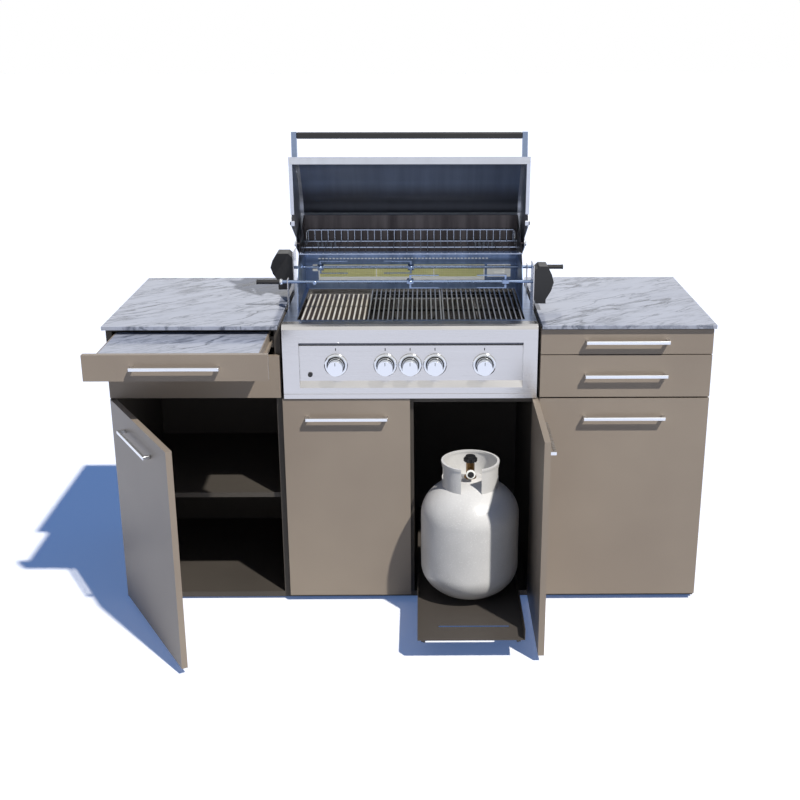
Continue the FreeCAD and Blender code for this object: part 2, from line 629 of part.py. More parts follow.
valve_parts = [
    flat_sided("z", "0", "0", "neck_z", "valve_radius + 4", "5", 6),
    flat_sided("z", "0", "0", "neck_z", "valve_radius", "valve_z - neck_z", 8),
    bar("z", "0", "0", "valve_z", "stem_radius", "wheel_high"),
    flat_sided("y", "0", "-outlet_reach", "outlet_z", "outlet_radius", "outlet_reach", 8),
    flat_sided("y", "0", "5 - outlet_reach", "outlet_z", "outlet_radius + 4", "6", 6),
]
valve_port = bar("y", "0", "-outlet_reach", "outlet_z", "outlet_radius - 3", "16")
node("cylinder_valve", less(joined(valve_parts), [valve_port]), gas_frame)

wheel_z = "valve_z + wheel_lift"
wheel_parts = [flat_sided("z", "0", "0", f"{wheel_z} + wheel_high", "wheel_radius * 0.72", "wheel_cap", 12)]
for turn in (0, 30, 60):
    wheel_parts.append(flat_sided("z", "0", "0", wheel_z, "wheel_radius", "wheel_high", 4, turn))
wheel_bore = bar("z", "0", "0", wheel_z, "stem_radius + pin_play", "wheel_high")
node("valve_handwheel", less(joined(wheel_parts), [wheel_bore]), gas_frame)

# Control panel with its knobs and the ignition button
panel_xs = ("-grill_half", "grill_half")
panel_profile = [
    ("panel_y", "panel_z"), ("panel_back_y", "panel_z"), ("panel_back_y", "top_z"),
    ("panel_y + panel_round", "top_z"), ("panel_y + panel_round * 0.3", "top_z - panel_round * 0.3"),
    ("panel_y", "top_z - panel_round"),
]
recess_profile = [
    ("panel_y - 1", "band_z"), ("panel_y", "band_z"), ("face_y", "face_z"), ("face_y", "face_top_z"),
    ("groove_y", "face_top_z"), ("groove_y", "groove_top_z"), ("panel_y - 1", "groove_top_z"),
]
shell_xs = ("grill_wall - grill_half", "grill_half - grill_wall")
knob_bores = []
KNOBS = [
    ("far_left", "-knob_side"), ("left", "-knob_mid"), ("middle", "0"),
    ("right", "knob_mid"), ("far_right", "knob_side"),
]
seam_xs = ("-grill_half - 1", "grill_half + 1")
panel_tools = [
    prism(("face_left", "face_right"), recess_profile),
    between(shell_xs, ("panel_shell_y", "panel_back_y + 1"), ("panel_z + 2", "top_z - deck_thick")),
    between(seam_xs, ("panel_y - 1", "panel_y + 1"), ("seam_z", "seam_z + 1.2")),
    bar("y", "button_x", "face_y - 1", "button_z", "button_radius + button_play", "30"),
]
for name, x in KNOBS:
    panel_tools.append(bar("y", x, "face_y - 1", "knob_z", "knob_stem + pin_play", "30"))
    mark_xs = (f"({x}) - 1", f"({x}) + 1")
    mark_zs = ("knob_z + mark_up", "knob_z + mark_up + 8")
    panel_tools.append(between(mark_xs, ("face_y - 1", "face_y + 0.6"), mark_zs))
bezels = []
for name, x in KNOBS:
    bezel = bar("y", x, "face_y - bezel_thick", "knob_z", "bezel_radius", "bezel_thick")
    bezel_bore = bar("y", x, "face_y - bezel_thick", "knob_z", "knob_stem + pin_play", "bezel_thick")
    bezels.append(less(bezel, [bezel_bore]))
panel_body = less(prism(panel_xs, panel_profile), panel_tools)
node("control_panel", joined([panel_body] + bezels))

for name, x in KNOBS:
    knob_base = "bezel_thick + slide_gap"
    knob_long = f"face_y - knob_y - {knob_base}"
    stem_long = f"stem_back_y - face_y + {knob_base} + 2"
    knob_parts = [
        flat_sided("z", "0", "0", knob_base, "knob_radius", knob_long, 36),
        flat_sided("z", "0", "0", "face_y - stem_back_y", "knob_stem", stem_long, 12),
    ]
    node(f"{name}_knob", joined(knob_parts), (x, "face_y", "knob_z"), X_AXIS, "90")

button_start = "face_y - button_reach"
button_cap = bar("y", "0", "-button_reach", "0", "button_radius", "button_long")
node("ignition_button", button_cap, ("button_x", "face_y", "button_z"))

# Firebox, deck and guard walls
box_ys = ("panel_back_y", "back_y")
fire_parts = []
for side in SIDES:
    xs = mirrored(side, "grill_half - grill_wall", "grill_half")
    fire_parts.append(between(xs, box_ys, ("centre_top_z", "top_z")))
fire_parts.append(between(panel_xs, ("back_y - grill_wall", "back_y"), ("centre_top_z", "top_z")))
deck = between(panel_xs, box_ys, ("top_z - deck_thick", "top_z"))
opening = between(("cook_left", "cook_right"), ("cook_y", "cook_back_y"), ("tub_z", "top_z + 1"))
cook_xs = ("cook_left", "cook_right")
cook_ys = ("cook_y", "cook_back_y")
tub_xs = ("cook_left - grill_wall", "cook_right + grill_wall")
tub_ys = ("cook_y - grill_wall", "cook_back_y + grill_wall")
tub_zs = ("tub_z", "top_z - deck_thick")
tub_parts = [between(tub_xs, tub_ys, ("tub_z - grill_wall", "tub_z"))]
for xs in ((tub_xs[0], "cook_left"), ("cook_right", tub_xs[1])):
    tub_parts.append(between(xs, cook_ys, tub_zs))
for ys in ((tub_ys[0], "cook_y"), ("cook_back_y", tub_ys[1])):
    tub_parts.append(between(tub_xs, ys, tub_zs))
fire_parts.append(less(deck, [opening]))
node("grill_housing", joined(fire_parts))
ledge_zs = ("ledge_z - ledge_thick", "ledge_z")
front_ledge = between(cook_xs, ("cook_y", "cook_y + front_ledge"), ledge_zs)
back_ledge = between(cook_xs, ("cook_back_y - back_ledge", "cook_back_y"), ledge_zs)
node("burner_box", tub_parts)
node("grate_ledges", [front_ledge, back_ledge])
guard_zs = ("top_z", "guard_top_z")
guard_end = "guard_y + guard_wall"
guard_back = between(("-guard_half", "guard_half"), ("guard_y", guard_end), guard_zs)
vents = []
for x in ("vent_left", "vent_right"):
    for step in range(5):
        slot_x = f"{x} + {step} * vent_wide / 5"
        vents.append(block(slot_x, "guard_y - 1", "vent_z", "vent_wide / 9", "guard_wall + 2", "vent_high"))
guard_parts = [less(guard_back, vents)]
side_profile = [
    ("guard_foot_y", "top_z"), (guard_end, "top_z"), (guard_end, "guard_top_z"),
    ("guard_rise_y", "guard_rise_z"), ("guard_ear_y", "guard_ear_z"), ("guard_slope_y", "guard_slope_z"),
    ("guard_bend_y", "guard_bend_z"),
]
for side in SIDES:
    xs = mirrored(side, "guard_half - guard_wall", "guard_half")
    spit_x = xs[0] + " - 1"
    spit_hole = bar("x", spit_x, "spit_back_y", "spit_z", "spit_radius + 1", "guard_wall + 2")
    wall = less(prism(xs, side_profile), [spit_hole])
    pin_xs = mirrored(side, "guard_half - guard_wall", "hood_half + 3")
    pin = bar("x", pin_xs[0], "pivot_y", "pivot_z", "hood_pin", "hood_half + 3 - guard_half + guard_wall")
    guard_parts.append(joined([wall, pin]))
base_ys = ("guard_y - heat_deep", "guard_y")
guard_parts.append(between(("heat_left", "heat_right"), base_ys, ("heat_z - heat_base", "heat_z")))
node("guard_walls", joined(guard_parts))

bracket_plate = between(("igniter_x", "igniter_x + igniter_wide"), ("guard_y - 8", "guard_y"),
                        ("heat_z", "heat_z + heat_high"))
bracket_gap = between(("igniter_x + igniter_wide * 0.3", "igniter_x + igniter_wide * 0.75"),
                      ("guard_y - 9", "guard_y - 2"), ("heat_z + heat_high * 0.3", "heat_z + heat_high + 1"))
node("igniter_bracket", less(bracket_plate, [bracket_gap]))

# Hotplate, cooking grates and the burners below them
plate_parts = [between(("plate_left", "plate_right"), ("plate_y", "plate_back_y"),
                       ("ledge_z", "plate_top_z - rib_high"))]
RIBS = int(SIZES["rib_count"])
for step in range(RIBS):
    x = f"plate_left + 4 + {step} * (plate_right - plate_left - 8 - rib_wide) / {RIBS - 1}"
    rib_long = "plate_back_y - plate_y - 16"
    rib = block(x, "plate_y + 8", "plate_top_z - rib_high", "rib_wide", rib_long, "rib_high")
    plate_parts.append(rib)
node("hotplate", joined(plate_parts))

BARS = int(SIZES["bar_count"])
grate_low = "(grate_top_z - bar_high)"
grates = []
for left, right in (("grate_left", "grate_split"), ("grate_split + 4", "grate_right")):
    parts = []
    for step in range(BARS):
        x = f"{left} + {step} * ({right} - ({left}) - bar_wide) / {BARS - 1}"
        parts.append(block(x, "grate_y", "grate_top_z - bar_high", "bar_wide",
                           "grate_back_y - grate_y", "bar_high"))
    for y in ("grate_y + 2", "rod_a_y", "rod_b_y"):
        rod_xs = (left, right)
        parts.append(between(rod_xs, (y, f"{y} + rod_wide"), ("ledge_z", grate_low)))
    grates.append(joined(parts))
node("cooking_grates", grates)

burner_long = "cook_back_y - cook_y"
burner_bars = []
for x in ("-knob_side", "-knob_mid * 0.6", "knob_mid", "knob_side"):
    burner_bars.append(flat_sided("y", x, "cook_y", "burner_z", "burner_radius", burner_long, 8))
node("burners", burner_bars)

# Rear burner and warming rack
heat_ys = ("guard_y - heat_deep", "guard_y")
heat_zs = ("heat_z", "heat_z + heat_high")
heat_body = between(("heat_left", "heat_right"), heat_ys, heat_zs)
cells = []
for step in range(30):
    wide = "(heat_right - heat_left - heat_rim * 2)"
    x = f"heat_left + heat_rim + {wide} * {step} / 30"
    cells.append(block(x, "guard_y - heat_deep - 1", "heat_z + heat_rim", f"{wide} / 34", "heat_rim + 1",
                       "heat_high - heat_rim * 2"))
node("rear_burner", less(heat_body, cells))

WIRES = int(SIZES["wire_count"])
rack_xs = ("-rack_half", "rack_half")
rack_parts = []
for y in ("rack_y", "(rack_y + rack_back_y) / 2", "rack_back_y - wire"):
    rack_parts.append(block(rack_xs[0], y, "rack_z - wire", "rack_half * 2", "wire", "wire"))
for step in range(WIRES):
    x = f"12 - rack_half + {step} * (rack_half * 2 - 24 - wire * 0.7) / {WIRES - 1}"
    rack_parts.append(block(x, "rack_y", "rack_z", "wire * 0.7", "rack_back_y - rack_y", "wire * 0.7"))
fence_xs = ("12 - rack_half", "rack_half - 12")
rack_parts.append(between(fence_xs, ("rack_back_y - wire", "rack_back_y"), ("fence_z", "fence_z + wire")))
for step in range(WIRES):
    x = f"12 - rack_half + {step} * (rack_half * 2 - 24 - wire * 0.7) / {WIRES - 1}"
    wide = "wire" if step in (0, WIRES - 1) else "wire * 0.7"
    rack_parts.append(block(x, "rack_back_y - wire", "rack_z", "wire * 0.7", wide, "fence_z - rack_z"))
node("warming_rack", joined(rack_parts))


# Hood, drawn shut round its pivot
def from_pivot(corners):
    return [(f"({y}) - pivot_y", f"({z}) - pivot_z", *rounds) for y, z, *rounds in corners]


hood_frame = ("0", "pivot_y", "pivot_z")
outer_corners = from_pivot([
    ("rim_y - hood_sheet", "rim_z"),
    ("bend_a_y - hood_sheet", "bend_a_z + hood_sheet * 0.3", "bend_round + hood_sheet"),
    ("bend_b_y - hood_sheet * 0.7", "bend_b_z + hood_sheet * 0.7", "bend_round + hood_sheet"),
    ("bend_c_y - hood_sheet * 0.5", "bend_c_z + hood_sheet", "bend_round + hood_sheet"),
    ("bend_d_y", "bend_d_z + hood_sheet"),
    ("hood_back_y", "hood_back_z + hood_sheet"), ("pivot_y + ear_radius", "pivot_z"),
    ("pivot_y - ear_radius", "pivot_z"), ("side_low_y", "side_low_z"),
])
inner_corners = from_pivot([
    ("rim_y", "rim_z"), ("bend_a_y", "bend_a_z", "bend_round"), ("bend_b_y", "bend_b_z", "bend_round"),
    ("bend_c_y", "bend_c_z", "bend_round"), ("bend_d_y", "bend_d_z"), ("hood_back_y", "hood_back_z"),
    ("hood_back_y + ear_radius", "hood_back_z"), ("hood_back_y + ear_radius", "rim_z - ear_radius"),
    ("rim_y", "rim_z - ear_radius"),
])
hood_xs = ("-hood_half", "hood_half")
hood_in = ("hood_sheet - hood_half", "hood_half - hood_sheet")
hood_ear = bar("x", "-hood_half", "0", "0", "ear_radius", "hood_half * 2")
hood_solid = joined([prism(hood_xs, outer_corners), hood_ear])
hood_room = prism(hood_in, inner_corners)
hood_tools = [bar("x", "-hood_half - 1", "0", "0", "hood_pin + pin_play", "hood_half * 2 + 2")]
for side in SIDES:
    xs = mirrored(side, "hood_half - side_fold - 1", "hood_half + 1")
    corners = []
    for sign, turns in (("+", (0, 14, 28)), ("-", (28, 14, 0))):
        for turn in turns:
            scale = f"(1 {sign} notch_half / notch_reach)"
            y = f"notch_away_y * cos({turn}) * {scale} - notch_away_z * sin({turn}) * {scale}"
            z = f"notch_away_y * sin({turn}) * {scale} + notch_away_z * cos({turn}) * {scale}"
            corners.append((y, z))
    hood_tools.append(prism(xs, corners))
    hood_tools.append(bar("x", xs[0], "notch_away_y", "notch_away_z", "notch_half", "side_fold + 2"))
fold_low = ("rim_y - pivot_y", "rim_z - pivot_z")
fold = block(hood_in[0], fold_low[0], fold_low[1], "(hood_half - hood_sheet) * 2", "rim_fold", "hood_sheet")
side_folds = []
for side in SIDES:
    fold_xs = mirrored(side, "hood_half - side_fold", "hood_half")
    fold_corners = from_pivot([
        ("rim_y - hood_sheet", "rim_z"), ("side_low_y", "side_low_z"),
        ("side_low_y", "side_low_z + hood_sheet"), ("rim_y - hood_sheet", "rim_z + hood_sheet"),
    ])
    side_folds.append(prism(fold_xs, fold_corners))
hood_skin = less(hood_solid, [hood_room])
hood_body = less(joined([hood_skin, fold] + side_folds), hood_tools)
node("hood", hood_body, hood_frame, X_AXIS, "-hood_open")

grip_half = "(hood_half - arm_in - arm_wide)"
grip_box = block(f"-{grip_half}", "grip_y - pivot_y", "grip_z - pivot_z", f"{grip_half} * 2", "grip_deep",
                 "grip_high")
node("hood_handle", grip_box, hood_frame, X_AXIS, "-hood_open")
arms = []
lean = "((bend_a_y - rim_y) / (bend_a_z + hood_sheet * 0.3 - rim_z))"
arm_low = "(grip_z - 1)"
arm_top = "(grip_z + grip_high + 1)"
for side in SIDES:
    arm_xs = mirrored(side, "hood_half - arm_in - arm_wide", "hood_half - arm_in")
    arm_corners = from_pivot([
        ("grip_y - 1", arm_low), (f"rim_y - hood_sheet + ({arm_low} - rim_z) * {lean}", arm_low),
        (f"rim_y - hood_sheet + ({arm_top} - rim_z) * {lean}", arm_top), ("grip_y - 1", arm_top),
    ])
    arms.append(prism(arm_xs, arm_corners))
node("hood_handle_brackets", arms, hood_frame, X_AXIS, "-hood_open")


# Rotisserie spits, the plates and posts that carry them, and the two drive housings
def spit(name, y, grip_side, forks):
    frame = ("0", y, "spit_z")
    grip_start = f"{name}_grip_x"
    low, high = ("-spit_end", grip_start) if grip_side > 0 else (f"-{grip_start}", "spit_end")
    parts = [bar("x", low, "0", "0", "spit_radius", f"{high} - ({low})")]
    for place, way in forks:
        parts.append(flat_sided("x", f"({place}) - hub_long / 2", "0", "0", "hub_radius", "hub_long", 6))
        cross_xs = (f"({place}) - 3", f"({place}) + 3")
        parts.append(between(cross_xs, ("-3", "3"), ("-fork_half", "fork_half")))
        tine_xs = (place, f"({place}) + tine_long") if way > 0 else (f"({place}) - tine_long", place)
        for edge in ("-fork_half", "fork_half - tine_half * 2"):
            parts.append(between(tine_xs, ("-tine_half", "tine_half"), (edge, f"{edge} + tine_half * 2")))
    node(f"{name}_spit", joined(parts), frame)
    grip_xs = mirrored(grip_side, grip_start, f"{grip_start} + spit_grip_long")
    grip = flat_sided("x", grip_xs[0], "0", "0", "spit_grip", "spit_grip_long", 8)
    node(f"{name}_spit_grip", grip, frame)


spit("rear", "spit_back_y", 1, (("-fork_far", 1), ("0", -1)))
spit("front", "spit_front_y", -1, (("0", 1), ("fork_far", -1)))

brackets = []
motors = []
MOTORS = {"left": (-1, "spit_back_y", "spit_front_y"), "right": (1, "spit_front_y", "spit_back_y")}
for name, (side, driven, idle) in MOTORS.items():
    xs = mirrored(side, "bracket_x", "bracket_x + bracket_wall")
    for y, half, top in ((driven, "bracket_half", "bracket_top_z"), (idle, "post_half", "post_top_z")):
        stand = between(xs, (f"{y} - {half}", f"{y} + {half}"), ("top_z", top))
        hole = bar("x", f"{xs[0]} - 1", y, "spit_z", "spit_radius + pin_play", "bracket_wall + 2")
        brackets.append(less(stand, [hole]))
    start = "grill_half"
    crown, bulge, low, foot = [f"{name}_{word}" for word in ("crown", "bulge", "low", "foot")]
    outline = [
        (start, f"{low}_z"), (start, f"{crown}_z - motor_edge"), (f"{start} + motor_edge", f"{crown}_z"),
        (f"{start} + {crown}", f"{crown}_z"),
        (f"{start} + ({crown} + {bulge} * 2) / 3", f"({crown}_z + {bulge}_z) / 2"),
        (f"{start} + {bulge}", f"{bulge}_z"),
        (f"{start} + ({low} + {bulge} * 2) / 3", f"({low}_z + {bulge}_z) / 2"),
        (f"{start} + {low}", f"{low}_z"), (f"{start} + {low}", f"{foot}_z"),
        (f"{start} + {foot}", f"{foot}_z"), (f"{start} + {foot}", f"{low}_z"),
    ]
    if side < 0:
        outline = [(f"-({x})", z) for x, z in outline]
    body = deep_prism((f"{driven} - motor_fore", f"{driven} + motor_aft"), outline)
    bore_xs = mirrored(side, start, f"{start} + 16")
    bore = bar("x", bore_xs[0], driven, "spit_z", "spit_radius + slide_gap", "16")
    motors.append(less(body, [bore]))
node("spit_brackets", brackets)
node("rotisserie_motors", motors)

doc.recompute()

os.makedirs("parts", exist_ok=True)
for obj in doc.Objects:
    if "Invalid" in obj.State or "Error" in obj.State:
        raise SystemExit(f"{obj.Name} in a bad state: {obj.State}")
for obj in nodes:
    shape = obj.Shape
    if shape.isNull():
        raise SystemExit(f"{obj.Label} has no shape")
    if not shape.isValid():
        raise SystemExit(f"{obj.Label} is not a valid shape")
    shape.exportStep(f"parts/{obj.Label}.step")
print(len(nodes), "sub-parts")
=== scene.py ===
import json
import math

import bmesh
import bpy
from mathutils import Matrix, Vector


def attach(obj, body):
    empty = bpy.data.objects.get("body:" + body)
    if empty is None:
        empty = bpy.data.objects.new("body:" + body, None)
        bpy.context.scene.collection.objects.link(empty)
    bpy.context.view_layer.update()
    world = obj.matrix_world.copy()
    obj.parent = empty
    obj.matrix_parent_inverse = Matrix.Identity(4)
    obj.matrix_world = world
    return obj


# Looks for the outdoor kitchen island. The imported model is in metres: X to the right along the front,
# Y to the back and Z up, with the origin on the floor. Places and sizes in this script are in
# millimetres, with Y counted from the front faces of the closed doors and drawers.

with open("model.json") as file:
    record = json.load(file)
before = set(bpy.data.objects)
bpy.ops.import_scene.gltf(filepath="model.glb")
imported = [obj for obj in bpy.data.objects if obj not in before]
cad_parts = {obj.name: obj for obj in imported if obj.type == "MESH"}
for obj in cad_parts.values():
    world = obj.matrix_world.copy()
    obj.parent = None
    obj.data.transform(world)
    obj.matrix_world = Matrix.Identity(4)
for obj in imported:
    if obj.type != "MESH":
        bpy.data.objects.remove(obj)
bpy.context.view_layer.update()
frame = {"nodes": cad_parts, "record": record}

MM = 0.001


def corners(name):
    """A node's lowest and highest corner in metres, as drawn."""
    points = [vert.co for vert in frame["nodes"][name].data.vertices]
    low = Vector([min(point[axis] for point in points) for axis in range(3)])
    high = Vector([max(point[axis] for point in points) for axis in range(3)])
    return low, high


# How far the closed fronts stand before the middle of the model's box, in metres
MIDDLE_Y = -corners("left_drawer")[0].y


def spot(x, y, z):
    """A place given in millimetres from the closed fronts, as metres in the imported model."""
    return (x * MM, y * MM - MIDDLE_Y, z * MM)


def extent(name):
    """A node's lowest and highest corner in millimetres, with Y from the closed fronts."""
    return [(corner + Vector((0, MIDDLE_Y, 0))) / MM for corner in corners(name)]


# Colours, pattern sizes and nodes

def tone(code, alpha=1.0):
    """A display colour such as "958a7c" as the linear colour that shaders take."""
    values = []
    for start in (0, 2, 4):
        part = int(code[start:start + 2], 16) / 255
        values.append(part / 12.92 if part <= 0.04045 else ((part + 0.055) / 1.055) ** 2.4)
    return (*values, alpha)


def per(*sizes):
    """The texture scale for marks this many millimetres across, or one scale for each axis."""
    scales = [1 / (size * MM) for size in sizes]
    return scales[0] if len(scales) == 1 else scales


class Nodes:
    """A node tree, with the one call that adds a node and sets or links its inputs."""

    def __init__(self, tree):
        self.tree = tree

    def feed(self, node, **inputs):
        """Sets or links a node's inputs, each named as its socket is, or "in" and its number."""
        for key, value in inputs.items():
            number = key.removeprefix("in")
            socket = node.inputs[int(number) if number.isdigit() else key.replace("_", " ")]
            if isinstance(value, bpy.types.NodeSocket):
                self.tree.links.new(value, socket)
            else:
                socket.default_value = value

    def add(self, kind, settings=None, **inputs):
        """Adds a node and gives back its outputs."""
        node = self.tree.nodes.new("ShaderNode" + kind)
        for key, value in (settings or {}).items():
            setattr(node, key, value)
        self.feed(node, **inputs)
        return node.outputs


class Finish(Nodes):
    """A material, with its shader and the piece's own place in metres."""

    def __init__(self, name, color, roughness, metallic=0.0):
        self.material = bpy.data.materials.new(name)
        self.material.use_nodes = True
        super().__init__(self.material.node_tree)
        self.shader = self.tree.nodes["Principled BSDF"]
        self.feed(self.shader, Base_Color=tone(color), Roughness=roughness, Metallic=metallic)
        self.coords = self.add("TexCoord")
        self.place = self.coords["Object"]


# Settings that many nodes share
COLORS = {"data_type": "RGBA"}
ADD = {"operation": "ADD"}
SUBTRACT = {"operation": "SUBTRACT"}
MULTIPLY = {"operation": "MULTIPLY"}
ABSOLUTE = {"operation": "ABSOLUTE"}
LARGER = {"operation": "MAXIMUM"}
ABOVE = {"operation": "GREATER_THAN"}
BELOW = {"operation": "LESS_THAN"}

# Real hairlines are about 0.1 mm wide, and a sprayed or moulded grain is 0.3 to 0.5 mm across. Both are
# drawn about 1.1 mm across, as fine as the render shows.
HAIR = 1.11
HAIR_LONG = 333


# Finishes

def marble():
    """Grey marble, sawn and polished: a smooth cool face with slanting dark veins of three sizes."""
    f = Finish("polished_grey_veined_marble", "a9aebb", 0.12)
    # Each kind of vein: its slant in radians, its reach on each axis in millimetres, the width of its
    # line as a share of that reach, its strength, and how sparse it is
    veins = None
    for slant, size, width, strength, sparse in (
        (0.62, (455, 111, 250), 0.030, 1.0, 0.44),
        (0.70, (250, 50, 125), 0.038, 0.80, 0.42),
        (0.50, (111, 21.7, 62.5), 0.055, 0.42, 0.42),
    ):
        turned = f.add("Mapping", Vector=f.place, Rotation=(0, 0, -slant), Location=(0.13, 0.31, 0))[0]
        place = f.add("Mapping", Vector=turned, Scale=per(*size))[0]
        pull = f.add("TexNoise", Vector=place, Scale=1.3, Detail=4.0)["Color"]
        pull = f.add("VectorMath", {"operation": "SCALE"}, in0=pull, Scale=0.9)[0]
        warped = f.add("VectorMath", ADD, in0=place, in1=pull)[0]
        field = f.add("TexNoise", Vector=warped, Scale=1.0, Detail=5.0, Roughness=0.55)["Fac"]
        field = f.add("Math", SUBTRACT, in0=field, in1=0.5)[0]
        ridge = f.add("Math", ABSOLUTE, in0=field)[0]
        line = f.add("MapRange", Value=ridge, From_Max=width, To_Min=1.0, To_Max=0.0)[0]
        gate = f.add("TexNoise", Vector=place, Scale=0.7, Detail=2.0)["Fac"]
        gate = f.add("MapRange", Value=gate, From_Min=sparse, From_Max=sparse + 0.16)[0]
        vein = f.add("Math", MULTIPLY, in0=line, in1=gate)[0]
        vein = f.add("Math", MULTIPLY, in0=vein, in1=strength)[0]
        veins = vein if veins is None else f.add("Math", LARGER, in0=veins, in1=vein)[0]
    place = f.add("Mapping", Vector=f.place, Rotation=(0, 0, -0.6))[0]
    place = f.add("Mapping", Vector=place, Scale=per(333, 143, 250))[0]
    cloud = f.add("TexNoise", Vector=place, Scale=1.5, Detail=4.0)["Fac"]
    cloud = f.add("MapRange", Value=cloud, From_Min=0.45, From_Max=0.75, To_Max=0.28)[0]
    body = f.add("Mix", COLORS, in0=cloud, in6=tone("a9aebb"), in7=tone("868d9e"))[2]
    color = f.add("Mix", COLORS, in0=veins, in6=body, in7=tone("474e5d"))[2]
    drift = f.add("TexNoise", Vector=f.place, Scale=per(200), Detail=3.0)["Fac"]
    polish = f.add("MapRange", Value=drift, From_Min=0.3, From_Max=0.7, To_Min=0.10, To_Max=0.16)[0]
    f.feed(f.shader, Base_Color=color, Roughness=polish, Specular_IOR_Level=0.3)
    return f.material


def painted_board(name, color, shade, roughness):
    """Sprayed board: an even satin face with faint broad clouds and a fine spray grain."""
    f = Finish(name, color, roughness)
    cloud = f.add("TexNoise", Vector=f.place, Scale=per(455), Detail=3.0)["Fac"]
    cloud = f.add("MapRange", Value=cloud, From_Min=0.35, From_Max=0.65)[0]
    mixed = f.add("Mix", COLORS, in0=cloud, in6=tone(color), in7=tone(shade))[2]
    grain = f.add("TexNoise", Vector=f.place, Scale=per(HAIR), Detail=2.0)["Fac"]
    rough = f.add("MapRange", Value=grain, From_Min=0.3, From_Max=0.7,
                  To_Min=roughness - 0.05, To_Max=roughness + 0.05)[0]
    bump = f.add("Bump", Height=grain, Distance=0.05 * MM, Strength=0.4)[0]
    f.feed(f.shader, Base_Color=mixed, Roughness=rough, Normal=bump)
    return f.material


def brushed(name, color, roughness, along, dark="3a3d42"):
    """Stainless sheet, brushed along one axis: highlights smear across its hairlines, with faint clouds."""
    f = Finish(name, color, roughness, 1.0)
    size = [HAIR_LONG if axis == along else HAIR for axis in "xyz"]
    place = f.add("Mapping", Vector=f.place, Scale=per(*size))[0]
    lines = f.add("TexNoise", Vector=place, Scale=1.0, Detail=3.0, Roughness=0.6)["Fac"]
    tint = f.add("MapRange", Value=lines, From_Min=0.25, From_Max=0.75, To_Max=0.22)[0]
    tint = f.add("Mix", COLORS, in0=tint, in6=tone(color), in7=tone(dark))[2]
    cloud = f.add("TexNoise", Vector=f.place, Scale=per(167), Detail=4.0)["Fac"]
    dulled = f.add("MapRange", Value=cloud, From_Min=0.3, From_Max=0.7, To_Max=0.07)[0]
    scored = f.add("MapRange", Value=lines, From_Min=0.3, From_Max=0.7, To_Min=-0.05, To_Max=0.06)[0]
    rough = f.add("Math", ADD, in0=scored, in1=dulled)[0]
    rough = f.add("Math", ADD, in0=rough, in1=roughness)[0]
    bump = f.add("Bump", Height=lines, Distance=0.04 * MM, Strength=0.35)[0]
    f.feed(f.shader, Base_Color=tint, Roughness=rough, Normal=bump)
    return f.material


def cast(name, color, worn, roughness):
    """Sand-cast iron, seasoned with oil: dull, lumpy and near black, greyer where it is worn."""
    f = Finish(name, color, roughness, 0.35)
    wear = f.add("TexNoise", Vector=f.place, Scale=per(38.5), Detail=3.0)["Fac"]
    wear = f.add("MapRange", Value=wear, From_Min=0.45, From_Max=0.7, To_Max=0.8)[0]
    mixed = f.add("Mix", COLORS, in0=wear, in6=tone(color), in7=tone(worn))[2]
    lumps = f.add("TexNoise", Vector=f.place, Scale=per(2.38), Detail=4.0, Roughness=0.6)["Fac"]
    rough = f.add("MapRange", Value=lumps, From_Min=0.3, From_Max=0.7,
                  To_Min=roughness - 0.1, To_Max=roughness + 0.12)[0]
    bump = f.add("Bump", Height=lumps, Distance=0.25 * MM, Strength=0.5)[0]
    f.feed(f.shader, Base_Color=mixed, Roughness=rough, Normal=bump)
    return f.material


def moulded(name, color, roughness, glow=0.0):
    """Moulded plastic, rubber or thick enamel: a pebbled skin that breaks the highlights up."""
    f = Finish(name, color, roughness)
    haze = f.add("TexNoise", Vector=f.place, Scale=per(71.4), Detail=3.0)["Fac"]
    rough = f.add("MapRange", Value=haze, From_Min=0.3, From_Max=0.7,
                  To_Min=roughness - 0.06, To_Max=roughness + 0.08)[0]
    pebbles = f.add("TexVoronoi", Vector=f.place, Scale=per(1.18))["Distance"]
    bump = f.add("Bump", Height=pebbles, Distance=0.12 * MM, Strength=0.35)[0]
    # A glow above zero is painted light: the piece shines in its own colour though it is no lamp
    f.feed(f.shader, Roughness=rough, Normal=bump, Emission_Color=tone(color), Emission_Strength=glow)
    return f.material


def bright_metal(name, color, roughness):
    """Polished or plated metal: clear reflections, with a slight haze and slow waves."""
    f = Finish(name, color, roughness, 1.0)
    haze = f.add("TexNoise", Vector=f.place, Scale=per(25), Detail=4.0)["Fac"]
    rough = f.add("MapRange", Value=haze, From_Min=0.3, From_Max=0.7,
                  To_Min=roughness, To_Max=roughness + 0.08)[0]
    waves = f.add("TexNoise", Vector=f.place, Scale=per(3.33), Detail=2.0)["Fac"]
    bump = f.add("Bump", Height=waves, Distance=0.02 * MM, Strength=0.2)[0]
    f.feed(f.shader, Roughness=rough, Normal=bump)
    return f.material


